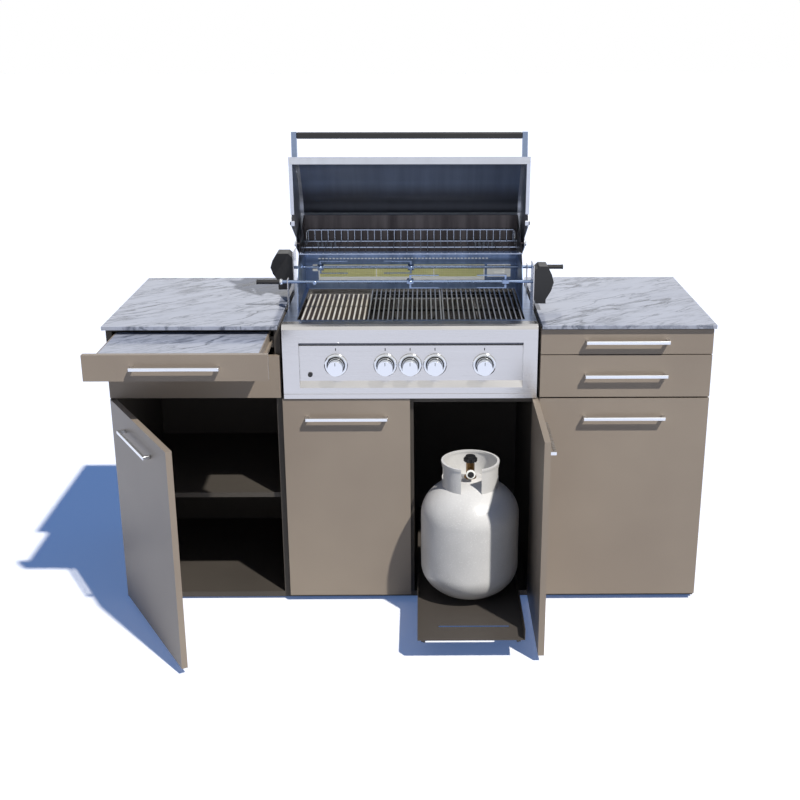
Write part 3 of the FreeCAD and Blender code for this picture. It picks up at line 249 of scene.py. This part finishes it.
def cylinder_paint():
    """Light grey enamel, sprayed thick: an orange-peel skin with a few fine flakes, smoother than the paint
    and painted bright as glints.
    """
    f = Finish("speckled_light_grey_enamel", "cfcfcd", 0.30)
    flakes = f.add("TexVoronoi", Vector=f.place, Scale=per(3.03))
    tilt = f.add("SeparateXYZ", Vector=flakes["Color"])[0]
    turned = f.add("MapRange", Value=tilt, From_Min=0.72, From_Max=0.80)[0]
    grain = f.add("MapRange", Value=flakes["Distance"], From_Min=0.34, From_Max=0.22)[0]
    painted_glint_specks = f.add("Math", MULTIPLY, in0=grain, in1=turned)[0]
    cloud = f.add("TexNoise", Vector=f.place, Scale=per(143), Detail=3.0)["Fac"]
    cloud = f.add("MapRange", Value=cloud, From_Min=0.35, From_Max=0.65)[0]
    body = f.add("Mix", COLORS, in0=cloud, in6=tone("dbdad7"), in7=tone("cccbc8"))[2]
    # Partly painted light: the flakes are real, and their near-white colour is a painted glint
    color = f.add("Mix", COLORS, in0=painted_glint_specks, in6=body, in7=tone("f4f4f2"))[2]
    rough = f.add("MapRange", Value=painted_glint_specks, To_Min=0.34, To_Max=0.12)[0]
    peel = f.add("TexNoise", Vector=f.place, Scale=per(6.25), Detail=3.0, Roughness=0.55)["Fac"]
    relief = f.add("Math", ADD, in0=peel, in1=painted_glint_specks)[0]
    bump = f.add("Bump", Height=relief, Distance=0.7 * MM, Strength=0.6)[0]
    f.feed(f.shader, Base_Color=color, Roughness=rough, Normal=bump)
    return f.material


def burner_mesh():
    """A pale yellow ceramic plate behind woven wire, which reads as a fine even weave. The wires of the
    real screen are about 2 mm apart, drawn 6 mm apart so that they show."""
    f = Finish("yellow_ceramic_behind_woven_screen", "b9b465", 0.6)
    wire_pitch = 6.04 * MM
    rows = math.tau / 20 / wire_pitch
    upright = f.add("TexWave", {"bands_direction": "X"}, Vector=f.place, Scale=rows)["Fac"]
    level = f.add("TexWave", {"bands_direction": "Z"}, Vector=f.place, Scale=rows)["Fac"]
    wires = f.add("Math", LARGER, in0=upright, in1=level)[0]
    shade = f.add("MapRange", Value=wires, From_Min=0.72, From_Max=0.95)[0]
    color = f.add("Mix", COLORS, in0=shade, in6=tone("dedb9c"), in7=tone("f4f1c4"))[2]
    bump = f.add("Bump", Height=wires, Distance=0.6 * MM, Strength=0.8)[0]
    # Painted light: the faint emission makes the unlit ceramic glow as if brightly lit
    f.feed(f.shader, Base_Color=color, Normal=bump, Emission_Color=tone("d3d08c"),
           Emission_Strength=0.14)
    return f.material


MATERIALS = {
    "marble": marble(),
    "taupe": painted_board("satin_taupe_lacquer", "95897b", "8c8073", 0.42),
    "carcass": painted_board("matt_charcoal_board", "47423c", "3e3934", 0.62),
    "steel": brushed("brushed_stainless", "c9c7c6", 0.20, "x", "9b9a99"),
    "bar_steel": brushed("satin_handle_steel", "dfe1e4", 0.22, "x", "a9adb3"),
    "chrome": bright_metal("polished_chrome", "d9dbde", 0.05),
    "zinc": painted_board("dark_grey_powder_coat", "4b4641", "45403b", 0.55),
    "black_plastic": moulded("grained_black_plastic", "151517", 0.42),
    "black_metal": moulded("black_textured_coating", "141415", 0.35),
    "iron": cast("seasoned_cast_iron", "24211f", "4d4843", 0.45),
    "wire": bright_metal("plated_wire", "b9bec6", 0.18),
    "gas_paint": cylinder_paint(),
    "brass": bright_metal("tarnished_brass", "8a6c45", 0.30),
    "mesh": burner_mesh(),
}

# The open hood as drawn: a line along its hollow, where its folds begin, and the span of heights over which
# its inside is painted in shade
HOOD_CORE_Y, HOOD_CORE_Z = 255.6, 1190
HOOD_SIDE_FOLD = 358.3
HOOD_RIM_FOLD = 213.1
HOOD_SHADE_LOW_Z, HOOD_SHADE_HIGH_Z = 1170, 1400


def hood_skin():
    """Stainless sheet, brushed outside. Inside it is painted blue-grey shade by height, darkest at the top
    bend, with darker soot streaks.
    A face is outside where it looks away from the core line of the hood, as drawn, or is on a fold."""
    f = Finish("stainless_hood_painted_inner_shade", "c6c9d0", 0.30, 1.0)
    x, y, z = f.add("SeparateXYZ", Vector=f.place)
    facing_x, facing_y, facing_z = f.add("SeparateXYZ", Vector=f.coords["Normal"])
    core = spot(0, HOOD_CORE_Y, HOOD_CORE_Z)
    from_y = f.add("Math", SUBTRACT, in0=y, in1=core[1])[0]
    from_z = f.add("Math", SUBTRACT, in0=z, in1=core[2])[0]
    away_y = f.add("Math", MULTIPLY, in0=from_y, in1=facing_y)[0]
    away_z = f.add("Math", MULTIPLY, in0=from_z, in1=facing_z)[0]
    away_x = f.add("Math", MULTIPLY, in0=x, in1=facing_x)[0]
    away = f.add("Math", ADD, in0=away_y, in1=away_z)[0]
    away = f.add("Math", ADD, in0=away, in1=away_x)[0]
    outer = f.add("Math", ABOVE, in0=away, in1=0.0)[0]
    from_middle = f.add("Math", ABSOLUTE, in0=x)[0]
    side_fold = f.add("Math", ABOVE, in0=from_middle, in1=HOOD_SIDE_FOLD * MM)[0]
    rim_fold = f.add("Math", BELOW, in0=y, in1=spot(0, HOOD_RIM_FOLD, 0)[1])[0]
    fold = f.add("Math", LARGER, in0=side_fold, in1=rim_fold)[0]
    outside = f.add("Math", LARGER, in0=outer, in1=fold)[0]

    place = f.add("Mapping", Vector=f.place, Scale=per(HAIR_LONG, HAIR, HAIR))[0]
    lines = f.add("TexNoise", Vector=place, Scale=1.0, Detail=3.0, Roughness=0.6)["Fac"]
    place = f.add("Mapping", Vector=f.place, Scale=per(28.4, 625, 417))[0]
    streaks = f.add("TexNoise", Vector=place, Scale=1.0, Detail=3.0, Roughness=0.55)["Fac"]
    height = f.add("MapRange", Value=z, From_Min=HOOD_SHADE_LOW_Z * MM, From_Max=HOOD_SHADE_HIGH_Z * MM)[0]
    # Painted shade: the inside's colours by height stand in for shade and blue sky light, darkest at the
    # top bend
    painted_inner_shade = f.add("ValToRGB", Fac=height)[0]
    stops = painted_inner_shade.node.color_ramp.elements
    stops[0].color = tone("8d939c")
    stops[1].color = tone("75809a")
    for share, code in ((0.045, "8d939c"), (0.06, "2a2d35"), (0.22, "2f333c"), (0.34, "5b6170"),
                        (0.50, "7887a2")):
        stops.new(share).color = tone(code)
    sooted = f.add("MapRange", Value=streaks, From_Min=0.35, From_Max=0.75, To_Max=0.3)[0]
    inner_shade_and_soot = f.add("Mix", COLORS, in0=sooted, in6=painted_inner_shade, in7=tone("3c404a"))[2]
    scored = f.add("MapRange", Value=lines, From_Min=0.25, From_Max=0.75, To_Max=0.3)[0]
    bright = f.add("Mix", COLORS, in0=scored, in6=tone("c6c9d0"), in7=tone("8f939b"))[2]
    color = f.add("Mix", COLORS, in0=outside, in6=inner_shade_and_soot, in7=bright)[2]
    metal = f.add("MapRange", Value=outside, To_Min=0.35, To_Max=1.0)[0]
    rough = f.add("MapRange", Value=streaks, From_Min=0.3, From_Max=0.7, To_Min=0.28, To_Max=0.42)[0]
    bump = f.add("Bump", Height=lines, Distance=0.04 * MM, Strength=0.3)[0]
    f.feed(f.shader, Base_Color=color, Metallic=metal, Roughness=rough, Normal=bump)
    return f.material


def plate_ribs():
    """Cast iron: its rib tops painted pale as sunlight, the hollows between them seasoned dark brown and
    darkened as painted shade.
    """
    f = Finish("seasoned_plate_painted_sunlit_rib_tops", "dcd3c0", 0.42, 0.25)
    plate_top = extent("hotplate")[1].z
    height = f.add("SeparateXYZ", Vector=f.place)[2]
    top = f.add("MapRange", Value=height, From_Min=(plate_top - 3.5) * MM, From_Max=(plate_top - 2) * MM)[0]
    place = f.add("Mapping", Vector=f.place, Scale=per(16.7, 125, 16.7))[0]
    wear = f.add("TexNoise", Vector=place, Scale=1.0, Detail=4.0)["Fac"]
    wear = f.add("MapRange", Value=wear, From_Min=0.35, From_Max=0.7)[0]
    # Painted light: pale rib tops stand in for sunlight, and the dark brown between them is partly painted
    # shade
    sunlit_rib_color = f.add("Mix", COLORS, in0=wear, in6=tone("f3efe6"), in7=tone("d2c9b8"))[2]
    shaded_hollow_color = f.add("Mix", COLORS, in0=wear, in6=tone("3a2d24"), in7=tone("241c17"))[2]
    color = f.add("Mix", COLORS, in0=top, in6=shaded_hollow_color, in7=sunlit_rib_color)[2]
    lumps = f.add("TexNoise", Vector=f.place, Scale=per(2.38), Detail=3.0)["Fac"]
    bump = f.add("Bump", Height=lumps, Distance=0.2 * MM, Strength=0.4)[0]
    f.feed(f.shader, Base_Color=color, Normal=bump)
    return f.material


def grate_bars():
    """Steel bars, their tops painted bright as lit from above and their flanks painted black as shade, with
    soot in patches.
    """
    f = Finish("grate_steel_painted_lit_tops", "bfc0c4", 0.33, 0.8)
    bar_top = extent("cooking_grates")[1].z
    height = f.add("SeparateXYZ", Vector=f.place)[2]
    top = f.add("MapRange", Value=height, From_Min=(bar_top - 3.5) * MM, From_Max=(bar_top - 0.8) * MM)[0]
    soot = f.add("TexNoise", Vector=f.place, Scale=per(33.3), Detail=4.0)["Fac"]
    soot = f.add("MapRange", Value=soot, From_Min=0.4, From_Max=0.7)[0]
    # Painted light: the bright bar tops are a painted highlight, and the black flanks are painted shade
    # darkened by soot in patches
    shaded_flank_color = f.add("Mix", COLORS, in0=soot, in6=tone("2a2a2e"), in7=tone("161618"))[2]
    color = f.add("Mix", COLORS, in0=top, in6=shaded_flank_color, in7=tone("c9cbd0"))[2]
    lumps = f.add("TexNoise", Vector=f.place, Scale=per(2.38), Detail=3.0)["Fac"]
    bump = f.add("Bump", Height=lumps, Distance=0.2 * MM, Strength=0.4)[0]
    f.feed(f.shader, Base_Color=color, Normal=bump)
    return f.material


# Heights between which the walls turn from blue-grey to brown
BROWN_FROM_Z, BROWN_BY_Z = 1046, 1058


def wall_steel():
    """Stainless sheet in upright streaks: painted blue-grey as shade beside the rear burner, dark brown
    above it.
    """
    f = Finish("stainless_walls_painted_blue_shade", "565b68", 0.34, 1.0)
    place = f.add("Mapping", Vector=f.place, Scale=per(47.6, 47.6, 556))[0]
    streaks = f.add("TexNoise", Vector=place, Scale=1.0, Detail=4.0, Roughness=0.6)["Fac"]
    shade = f.add("MapRange", Value=streaks, From_Min=0.35, From_Max=0.7)[0]
    # Painted shade: the blue-grey of the lower walls stands in for sky-lit shade
    low = f.add("Mix", COLORS, in0=shade, in6=tone("8296b8"), in7=tone("60718f"))[2]
    high = f.add("Mix", COLORS, in0=shade, in6=tone("4a4646"), in7=tone("322f31"))[2]
    height = f.add("SeparateXYZ", Vector=f.place)[2]
    brown_share = f.add("MapRange", Value=height, From_Min=BROWN_FROM_Z * MM, From_Max=BROWN_BY_Z * MM)[0]
    color = f.add("Mix", COLORS, in0=brown_share, in6=low, in7=high)[2]
    rough = f.add("MapRange", Value=streaks, From_Min=0.3, From_Max=0.7, To_Min=0.28, To_Max=0.42)[0]
    f.feed(f.shader, Base_Color=color, Roughness=rough)
    return f.material


def deck_steel():
    """Stainless sheet with soft streaks, painted blue-grey as shade, glossier on the deck than down in the
    firebox.
    """
    f = Finish("deck_stainless_painted_blue_shade", "565b68", 0.34, 1.0)
    place = f.add("Mapping", Vector=f.place, Scale=per(167, 33.3, 33.3))[0]
    streaks = f.add("TexNoise", Vector=place, Scale=1.0, Detail=4.0, Roughness=0.6)["Fac"]
    shade = f.add("MapRange", Value=streaks, From_Min=0.35, From_Max=0.7)[0]
    # Painted shade: the blue-grey stands in for the deck's shaded look under a blue sky
    color = f.add("Mix", COLORS, in0=shade, in6=tone("97a9c9"), in7=tone("7c8ba8"))[2]
    deck = extent("grill_housing")[1].z * MM
    height = f.add("SeparateXYZ", Vector=f.place)[2]
    rough = f.add("MapRange", Value=height, From_Min=deck - 30 * MM, From_Max=deck,
                  To_Min=0.42, To_Max=0.30)[0]
    f.feed(f.shader, Base_Color=color, Roughness=rough)
    return f.material


# White enamel trim round the rear burner: bright and even, with a faint painted glow standing in for the
# light it catches
white_enamel_painted_glow = moulded("white_enamel_painted_glow", "e4e4de", 0.4, glow=0.28)
# Matt black rubber: takes no highlight, so it also serves for printed marks and as painted shade in the
# grooves round the knobs
black_gap = moulded("matt_black_rubber_and_painted_groove_shade", "0d0d0e", 0.6)
# The thin steel of the spits, rack and grip arms is painted blue-grey, as it looks in shade
spit_steel = bright_metal("spit_steel_painted_blue_shade", "8798b4", 0.24)
OWN_FINISH = {
    "hood": hood_skin(),
    "cooking_grates": grate_bars(),
    "hotplate": plate_ribs(),
    "guard_walls": wall_steel(),
    "grill_housing": deck_steel(),
    "igniter_bracket": white_enamel_painted_glow,
    "front_spit": spit_steel,
    "rear_spit": spit_steel,
    "warming_rack": bright_metal("nickel_plated_rack_wire", "9aa3b3", 0.22),
    "hood_handle_brackets": brushed("shaded_arm_stainless", "8391a8", 0.28, "z", "56637a"),
}
slot_of = {entry["node"]: entry["material_slot"] for entry in frame["record"]["subparts"]}
for name, obj in frame["nodes"].items():
    material = OWN_FINISH.get(name, MATERIALS[slot_of[name]])
    for place in obj.material_slots:
        place.link = "OBJECT"
        place.material = material

# Rounding of sharp edges in millimetres, as folded sheet, sawn stone and sanded board have it
BEVELS = {
    "worktops": 1.2, "pullout_board": 1.0, "hood_handle": 4.0, "control_panel": 0.8,
    "grill_housing": 0.6, "rotisserie_motors": 3.0, "cooking_grates": 0.5, "hotplate": 0.5,
    "spit_brackets": 0.4, "igniter_bracket": 1.2, "valve_handwheel": 1.2,
}
FRONT_BEVEL = 1.0
BAR_HANDLE_BEVEL = 1.6


def soften(name, width, segments=2):
    """Welds the mesh and rounds its sharp edges."""
    obj = frame["nodes"][name]
    obj.modifiers.new("weld", "WELD").merge_threshold = 0.02 * MM
    bevel = obj.modifiers.new("edges", "BEVEL")
    bevel.width = width * MM
    bevel.segments = segments
    bevel.limit_method = "ANGLE"
    bevel.angle_limit = math.radians(40)
    bevel.use_clamp_overlap = True


for name, width in BEVELS.items():
    soften(name, width)
for name in frame["nodes"]:
    if name.endswith(("_door", "_drawer")) or name == "pullout_front":
        soften(name, FRONT_BEVEL)
    if name.endswith("_handle") and name != "hood_handle":
        soften(name, BAR_HANDLE_BEVEL, 3)


# Pieces that only the looks need

def keep(obj, body, material):
    """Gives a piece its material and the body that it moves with."""
    obj.data.materials.append(material)
    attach(obj, body)


def mesh_object(name, bm, smooth=False):
    mesh = bpy.data.meshes.new(name)
    bm.to_mesh(mesh)
    bm.free()
    for face in mesh.polygons:
        face.use_smooth = smooth
    obj = bpy.data.objects.new(name, mesh)
    bpy.context.collection.objects.link(obj)
    return obj


def lathe(name, outline, place, axis, steps):
    """A turned piece; the outline gives (distance along the axis, radius) pairs in millimetres."""
    bm = bmesh.new()
    turn = Vector((0, 0, 1)).rotation_difference(Vector(axis)).to_matrix()
    rings = []
    for along, radius in outline:
        ring = []
        for step in range(steps):
            angle = math.tau * step / steps
            local = Vector((radius * math.cos(angle), radius * math.sin(angle), along)) * MM
            ring.append(bm.verts.new(Vector(place) + turn @ local))
        rings.append(ring)
    for low, high in zip(rings, rings[1:]):
        for step in range(steps):
            after = (step + 1) % steps
            bm.faces.new((low[step], low[after], high[after], high[step]))
    bm.faces.new(list(reversed(rings[0])))
    bm.faces.new(rings[-1])
    obj = mesh_object(name, bm, smooth=True)
    obj.modifiers.new("crease", "EDGE_SPLIT").split_angle = math.radians(35)
    return obj


def plates(name, spans, bevel=0.0):
    """One piece made of rectangular plates, each from its lowest to its highest corner."""
    bm = bmesh.new()
    for low, high in spans:
        low, high = Vector(spot(*low)), Vector(spot(*high))
        middle = Matrix.Translation((low + high) / 2) @ Matrix.Diagonal((*(high - low), 1))
        made = bmesh.ops.create_cube(bm, size=1.0, matrix=middle)
        if bevel:
            edges = list({edge for vert in made["verts"] for edge in vert.link_edges})
            bmesh.ops.bevel(bm, geom=edges, offset=bevel * MM, segments=2, affect="EDGES")
    return mesh_object(name, bm)


def bent_wire(name, points, radius):
    """A round wire along points in metres."""
    curve = bpy.data.curves.new(name, "CURVE")
    curve.dimensions = "3D"
    curve.bevel_depth = radius * MM
    curve.bevel_resolution = 3
    curve.use_fill_caps = True
    spline = curve.splines.new("POLY")
    spline.points.add(len(points) - 1)
    for place, point in zip(spline.points, points):
        place.co = (*point, 1)
    obj = bpy.data.objects.new(name, curve)
    bpy.context.collection.objects.link(obj)
    return obj


# Knobs: a chrome bezel ring and a black ring on the panel painted as the shade in the groove, and a cap, a
# skirt and a tick on each knob.
# Each outline runs outward from the panel's recessed face.
TOWARD_FRONT = (0, -1, 0)
PANEL_FACE_Y = 5
BEZEL = [(-0.2, 35.6), (2.2, 36.2), (4.6, 35.2), (5.9, 33.2), (6.2, 31.0), (5.7, 28.6), (5.2, 27.6)]
GROOVE = [(5.0, 27.9), (5.35, 27.6), (5.35, 23.6), (5.0, 23.4)]
CAP = [(42.8, 22.9), (43.3, 22.3), (43.6, 21.0), (43.7, 14.0)]
SKIRT = [(5.5, 23.3), (6.2, 24.2), (9.0, 24.2), (10.5, 23.3)]
TICK_HALF = 0.9
TICK_FROM, TICK_TO = 9, 19
TICK_SUNK, TICK_PROUD = 0.4, 0.3
MARK_HALF = 1
MARK_FROM, MARK_TO = 45, 53
MARK_PROUD = 0.4

chrome = MATERIALS["chrome"]
marks = []
for knob in ("far_left", "left", "middle", "right", "far_right"):
    body = f"{knob}_knob"
    low, high = extent(body)
    x, z = (low.x + high.x) / 2, (low.z + high.z) / 2
    centre = spot(x, PANEL_FACE_Y, z)
    keep(lathe(f"{knob}_bezel_ring", BEZEL, centre, TOWARD_FRONT, 72), "island", chrome)
    # The groove ring is black as painted shade in the gap round the knob
    keep(lathe(f"{knob}_groove", GROOVE, centre, TOWARD_FRONT, 48), "island", black_gap)
    keep(lathe(f"{knob}_cap", CAP, centre, TOWARD_FRONT, 48), body, chrome)
    keep(lathe(f"{knob}_skirt", SKIRT, centre, TOWARD_FRONT, 48), body, chrome)
    tick = ((x - TICK_HALF, low.y - TICK_PROUD, z + TICK_FROM),
            (x + TICK_HALF, low.y + TICK_SUNK, z + TICK_TO))
    keep(plates(f"{knob}_tick", [tick]), body, black_gap)
    marks.append(((x - MARK_HALF, PANEL_FACE_Y - MARK_PROUD, z + MARK_FROM),
                  (x + MARK_HALF, PANEL_FACE_Y + MARK_PROUD, z + MARK_TO)))
keep(plates("panel_marks", marks), "island", black_gap)

# The sloped fold over the panel's recess lies in shadow
FOLD_LOW, FOLD_HIGH = (-336.5, 12.9, 864.6), (342.5, 13.9, 874.4)
shadowed_fold = bright_metal("shadowed_fold_steel", "5e6067", 0.22)
keep(plates("panel_fold_shadow", [(FOLD_LOW, FOLD_HIGH)]), "island", shadowed_fold)

# Rear burner: a frame with two dividers, a strip below it, the igniter's clip on its left and the row of
# small slots in the wall above it
burner_low, burner_high = extent("rear_burner")
frame_left, frame_right = burner_low.x - 1, burner_high.x + 1
frame_bottom, frame_top = burner_low.z - 1, burner_high.z + 1
frame_front, frame_back = burner_low.y - 1.6, burner_low.y + 0.4
RAIL = 4
SILL = 3
DIVIDER_HALF = 1.6
uprights = [(frame_left - 0.5, frame_left + RAIL - 0.5), (frame_right + 0.5 - RAIL, frame_right + 0.5)]
uprights += [(x - DIVIDER_HALF, x + DIVIDER_HALF) for x in (-116.8, 77.1)]
rails = [(frame_bottom, frame_bottom + SILL), (frame_top - RAIL, frame_top)]
burner_frame = []
for left, right in uprights:
    burner_frame.append(((left, frame_front, frame_bottom), (right, frame_back, frame_top)))
for low, high in rails:
    burner_frame.append(((frame_left, frame_front + 0.2, low), (frame_right, frame_back, high)))
keep(plates("burner_frame", burner_frame, 0.4), "island", white_enamel_painted_glow)
STRIP_TALL = 13.7
strip = [((frame_left, frame_front - 0.2, frame_bottom + 1.2 - STRIP_TALL),
          (frame_right, frame_back - 0.1, frame_bottom + 1.2))]
keep(plates("burner_strip", strip, 0.5), "island", white_enamel_painted_glow)
CLIP = [((-331, 470, 992), (-313, 486.2, 1012)), ((-329, 466, 999), (-316, 470.2, 1005))]
keep(plates("igniter_clip", CLIP, 0.8), "island", white_enamel_painted_glow)
# The slots are white plates with the enamel's painted glow, standing in for daylight seen through them
SLOT_COUNT = 48
SLOT_PITCH = 12
SLOT_LOW, SLOT_HIGH = Vector((-312, 484.9, 1030.2)), Vector((-304.5, 486.1, 1033.4))
steps = [Vector((SLOT_PITCH * count, 0, 0)) for count in range(SLOT_COUNT)]
slots = [(SLOT_LOW + step, SLOT_HIGH + step) for step in steps]
keep(plates("slot_row", slots), "island", white_enamel_painted_glow)

# Cylinder: one smooth painted skin over the vessel, the valve's outlet with its plug, and the brass ring
# at the neck
UP = (0, 0, 1)
cylinder_low, cylinder_high = extent("gas_cylinder")
cylinder_x = (cylinder_low.x + cylinder_high.x) / 2
cylinder_y = (cylinder_low.y + cylinder_high.y) / 2
SKIN_RADIUS = 151.5
FOOT = (80.6, 52.0)
LOWER_DOME_Z, LOWER_DOME_TALL, LOWER_DOME_TURN = 183, 109.6, 70
UPPER_DOME_Z, UPPER_DOME_TALL, UPPER_DOME_TURN = 350, 115.5, 64
NECK = [(458, 50), (461.5, 34), (464.5, 22), (466.5, 19)]
skin = [FOOT]
for step in range(1, 16):
    angle = math.radians(LOWER_DOME_TURN * (1 - step / 15))
    skin.append((LOWER_DOME_Z - LOWER_DOME_TALL * math.sin(angle), SKIN_RADIUS * math.cos(angle)))
for step in range(15):
    angle = math.radians(UPPER_DOME_TURN * step / 14)
    skin.append((UPPER_DOME_Z + UPPER_DOME_TALL * math.sin(angle), SKIN_RADIUS * math.cos(angle)))
skin += NECK
axis_foot = spot(cylinder_x, cylinder_y, 0)
gas_paint, brass = MATERIALS["gas_paint"], MATERIALS["brass"]
keep(lathe("vessel_skin", skin, axis_foot, UP, 128), "gas_tray", gas_paint)
OUTLET_Z = 491
RING_REACH, PLUG_REACH = 34, 38
OUTLET_RING = [(-0.6, 13.6), (-0.4, 14.4), (3.2, 14.4), (3.8, 12.6)]
PLUG = [(0.0, 9.6), (1.4, 9.6), (1.6, 8.6)]
place = spot(cylinder_x, cylinder_y - RING_REACH, OUTLET_Z)
keep(lathe("outlet_ring", OUTLET_RING, place, TOWARD_FRONT, 40), "gas_tray", white_enamel_painted_glow)
place = spot(cylinder_x, cylinder_y - PLUG_REACH, OUTLET_Z)
keep(lathe("outlet_plug", PLUG, place, TOWARD_FRONT, 32), "gas_tray", black_gap)
NECK_RING = [(467.8, 18.5), (470.2, 19.2), (472.8, 18.4), (474.6, 15.0)]
keep(lathe("neck_ring", NECK_RING, axis_foot, UP, 40), "gas_tray", brass)

# Spits: a bush and a cap on each grip, and thumb screws on the fork hubs
BUSH = [(-1.0, 8.4), (0.5, 9.4), (5.0, 9.4), (6.5, 8.6)]
END_CAP = [(76, 8.0), (79.5, 8.0), (80.6, 6.6), (81.0, 4.0)]
SCREW = [(9.0, 2.6), (15.0, 2.6), (15.4, 6.0), (19.0, 6.4), (20.0, 5.2)]
grip_plastic = MATERIALS["black_plastic"]
for spit, hubs in (("rear", (-300, 0)), ("front", (0, -300))):
    body = f"{spit}_spit"
    low, high = extent(f"{spit}_spit_grip")
    y, z = (low.y + high.y) / 2, (low.z + high.z) / 2
    grip_start = min(low.x, high.x, key=abs)
    outward = (math.copysign(1, grip_start), 0, 0)
    start = spot(grip_start, y, z)
    keep(lathe(f"{spit}_grip_bush", BUSH, start, outward, 32), body, chrome)
    keep(lathe(f"{spit}_grip_cap", END_CAP, start, outward, 32), body, grip_plastic)
    for count, hub_x in enumerate(hubs):
        screw = lathe(f"{spit}_fork_screw_{count}", SCREW, spot(hub_x, y, z), TOWARD_FRONT, 24)
        keep(screw, body, spit_steel)

# Hood: a rubber stop on each side, and a domed cap over each pivot
HOOD_STOP_Y, HOOD_STOP_Z = 240, 1194
PIVOT_Y, PIVOT_Z = 355, 1108
STOP = [(-0.5, 6.0), (3.0, 6.0), (4.4, 5.2), (5.0, 3.6)]
PIVOT_CAP = [(-0.4, 9.0), (1.6, 9.0), (3.6, 7.4), (4.2, 4.4)]
hood_side = extent("hood")[1].x
pivot_side = extent("guard_walls")[1].x - 1
for side, name in ((-1, "left"), (1, "right")):
    outward = (side, 0, 0)
    stop = lathe(f"{name}_hood_stop", STOP, spot(side * hood_side, HOOD_STOP_Y, HOOD_STOP_Z), outward, 28)
    keep(stop, "hood", black_gap)
    cap = lathe(f"{name}_pivot_cap", PIVOT_CAP, spot(side * pivot_side, PIVOT_Y, PIVOT_Z), outward, 28)
    keep(cap, "island", chrome)

# Warming rack: a rounded wire at each side, where the rack turns up into its fence
RACK_WIRE = 2.1
RACK_SIDE = extent("warming_rack")[1].x - 7
SIDE_WIRE = [(0, 264, 1095), (0, 300, 1095), (0, 470, 1095), (0, 474.5, 1098), (0, 476.5, 1104),
             (0, 476.5, 1122), (2, 476.5, 1128), (8, 476.5, 1130.5)]
for side, name in ((-1, "left"), (1, "right")):
    points = [spot(side * (RACK_SIDE - inward), y, z) for inward, y, z in SIDE_WIRE]
    keep(bent_wire(f"{name}_rack_corner", points, RACK_WIRE), "island", MATERIALS["wire"])


# Stage

def seen_white(nodes):
    """1 where a ray sees the background itself: from the camera, in a reflection or through glass."""
    ray = nodes.add("LightPath")
    seen = nodes.add("Math", LARGER, in0=ray["Is Camera Ray"], in1=ray["Is Glossy Ray"])[0]
    return nodes.add("Math", LARGER, in0=seen, in1=ray["Is Transmission Ray"])[0]


def white_floor():
    """A matt white floor. The object is lit by a greyer floor, and its shadow stays blue, as under sky."""
    paint = bpy.data.materials.new("white_floor")
    paint.use_nodes = True
    paint.node_tree.nodes.clear()
    f = Nodes(paint.node_tree)
    seen = seen_white(f)
    color = f.add("Mix", COLORS, in0=seen, in6=tone("b3b3b3"), in7=tone("fcfcfc"))[2]
    matt = f.add("BsdfDiffuse", Color=color)[0]
    lift = f.add("Emission", Color=tone("3f557c"), Strength=seen)[0]
    both = f.add("AddShader", in0=matt, in1=lift)[0]
    f.add("OutputMaterial", Surface=both)
    return paint


FLOOR_HALF = 30
bm = bmesh.new()
bmesh.ops.create_grid(bm, x_segments=1, y_segments=1, size=FLOOR_HALF)
floor = mesh_object("floor", bm)
floor.data.materials.append(white_floor())

# A soft blue sky lights the object, paler toward the horizon; the background itself shows white
world = bpy.data.worlds.new("studio")
bpy.context.scene.world = world
world.use_nodes = True
world.node_tree.nodes.clear()
air = Nodes(world.node_tree)
height = air.add("SeparateXYZ", Vector=air.add("TexCoord")["Generated"])["Z"]
blue = air.add("ValToRGB", Fac=height)[0]
stops = blue.node.color_ramp.elements
stops[0].color = tone("807f7d")
stops[1].color = tone("3d5c8c")
for share, code in ((0.12, "7b828d"), (0.35, "6480ad"), (0.65, "4a6a9c")):
    stops.new(share).color = tone(code)
sky = air.add("Background", Color=blue, Strength=0.75)[0]
white = air.add("Background", Color=tone("ffffff"), Strength=1.0)[0]
shown = air.add("MixShader", in0=seen_white(air), in1=sky, in2=white)[0]
air.add("OutputWorld", Surface=shown)

sun_data = bpy.data.lights.new("key", "SUN")
sun_data.energy = 4.0
sun_data.angle = math.radians(1.5)
sun_data.color = tone("fffbf5")[:3]
sun = bpy.data.objects.new("key", sun_data)
sun.rotation_euler = Vector((-0.5, 0.6, -1.0)).to_track_quat("-Z", "Y").to_euler()
bpy.context.collection.objects.link(sun)

# Camera at the photograph's place
camera_data = bpy.data.cameras.new("camera")
camera_data.sensor_width = 36
camera_data.lens = 52.93
camera_data.shift_x = -0.0411
camera = bpy.data.objects.new("camera", camera_data)
camera.location = spot(35.6, -3424.1, 1847.2)
camera.rotation_euler = (math.radians(71.35), 0, math.radians(-0.56))
bpy.context.collection.objects.link(camera)
bpy.context.scene.camera = camera
bpy.context.scene.view_settings.view_transform = "Standard"
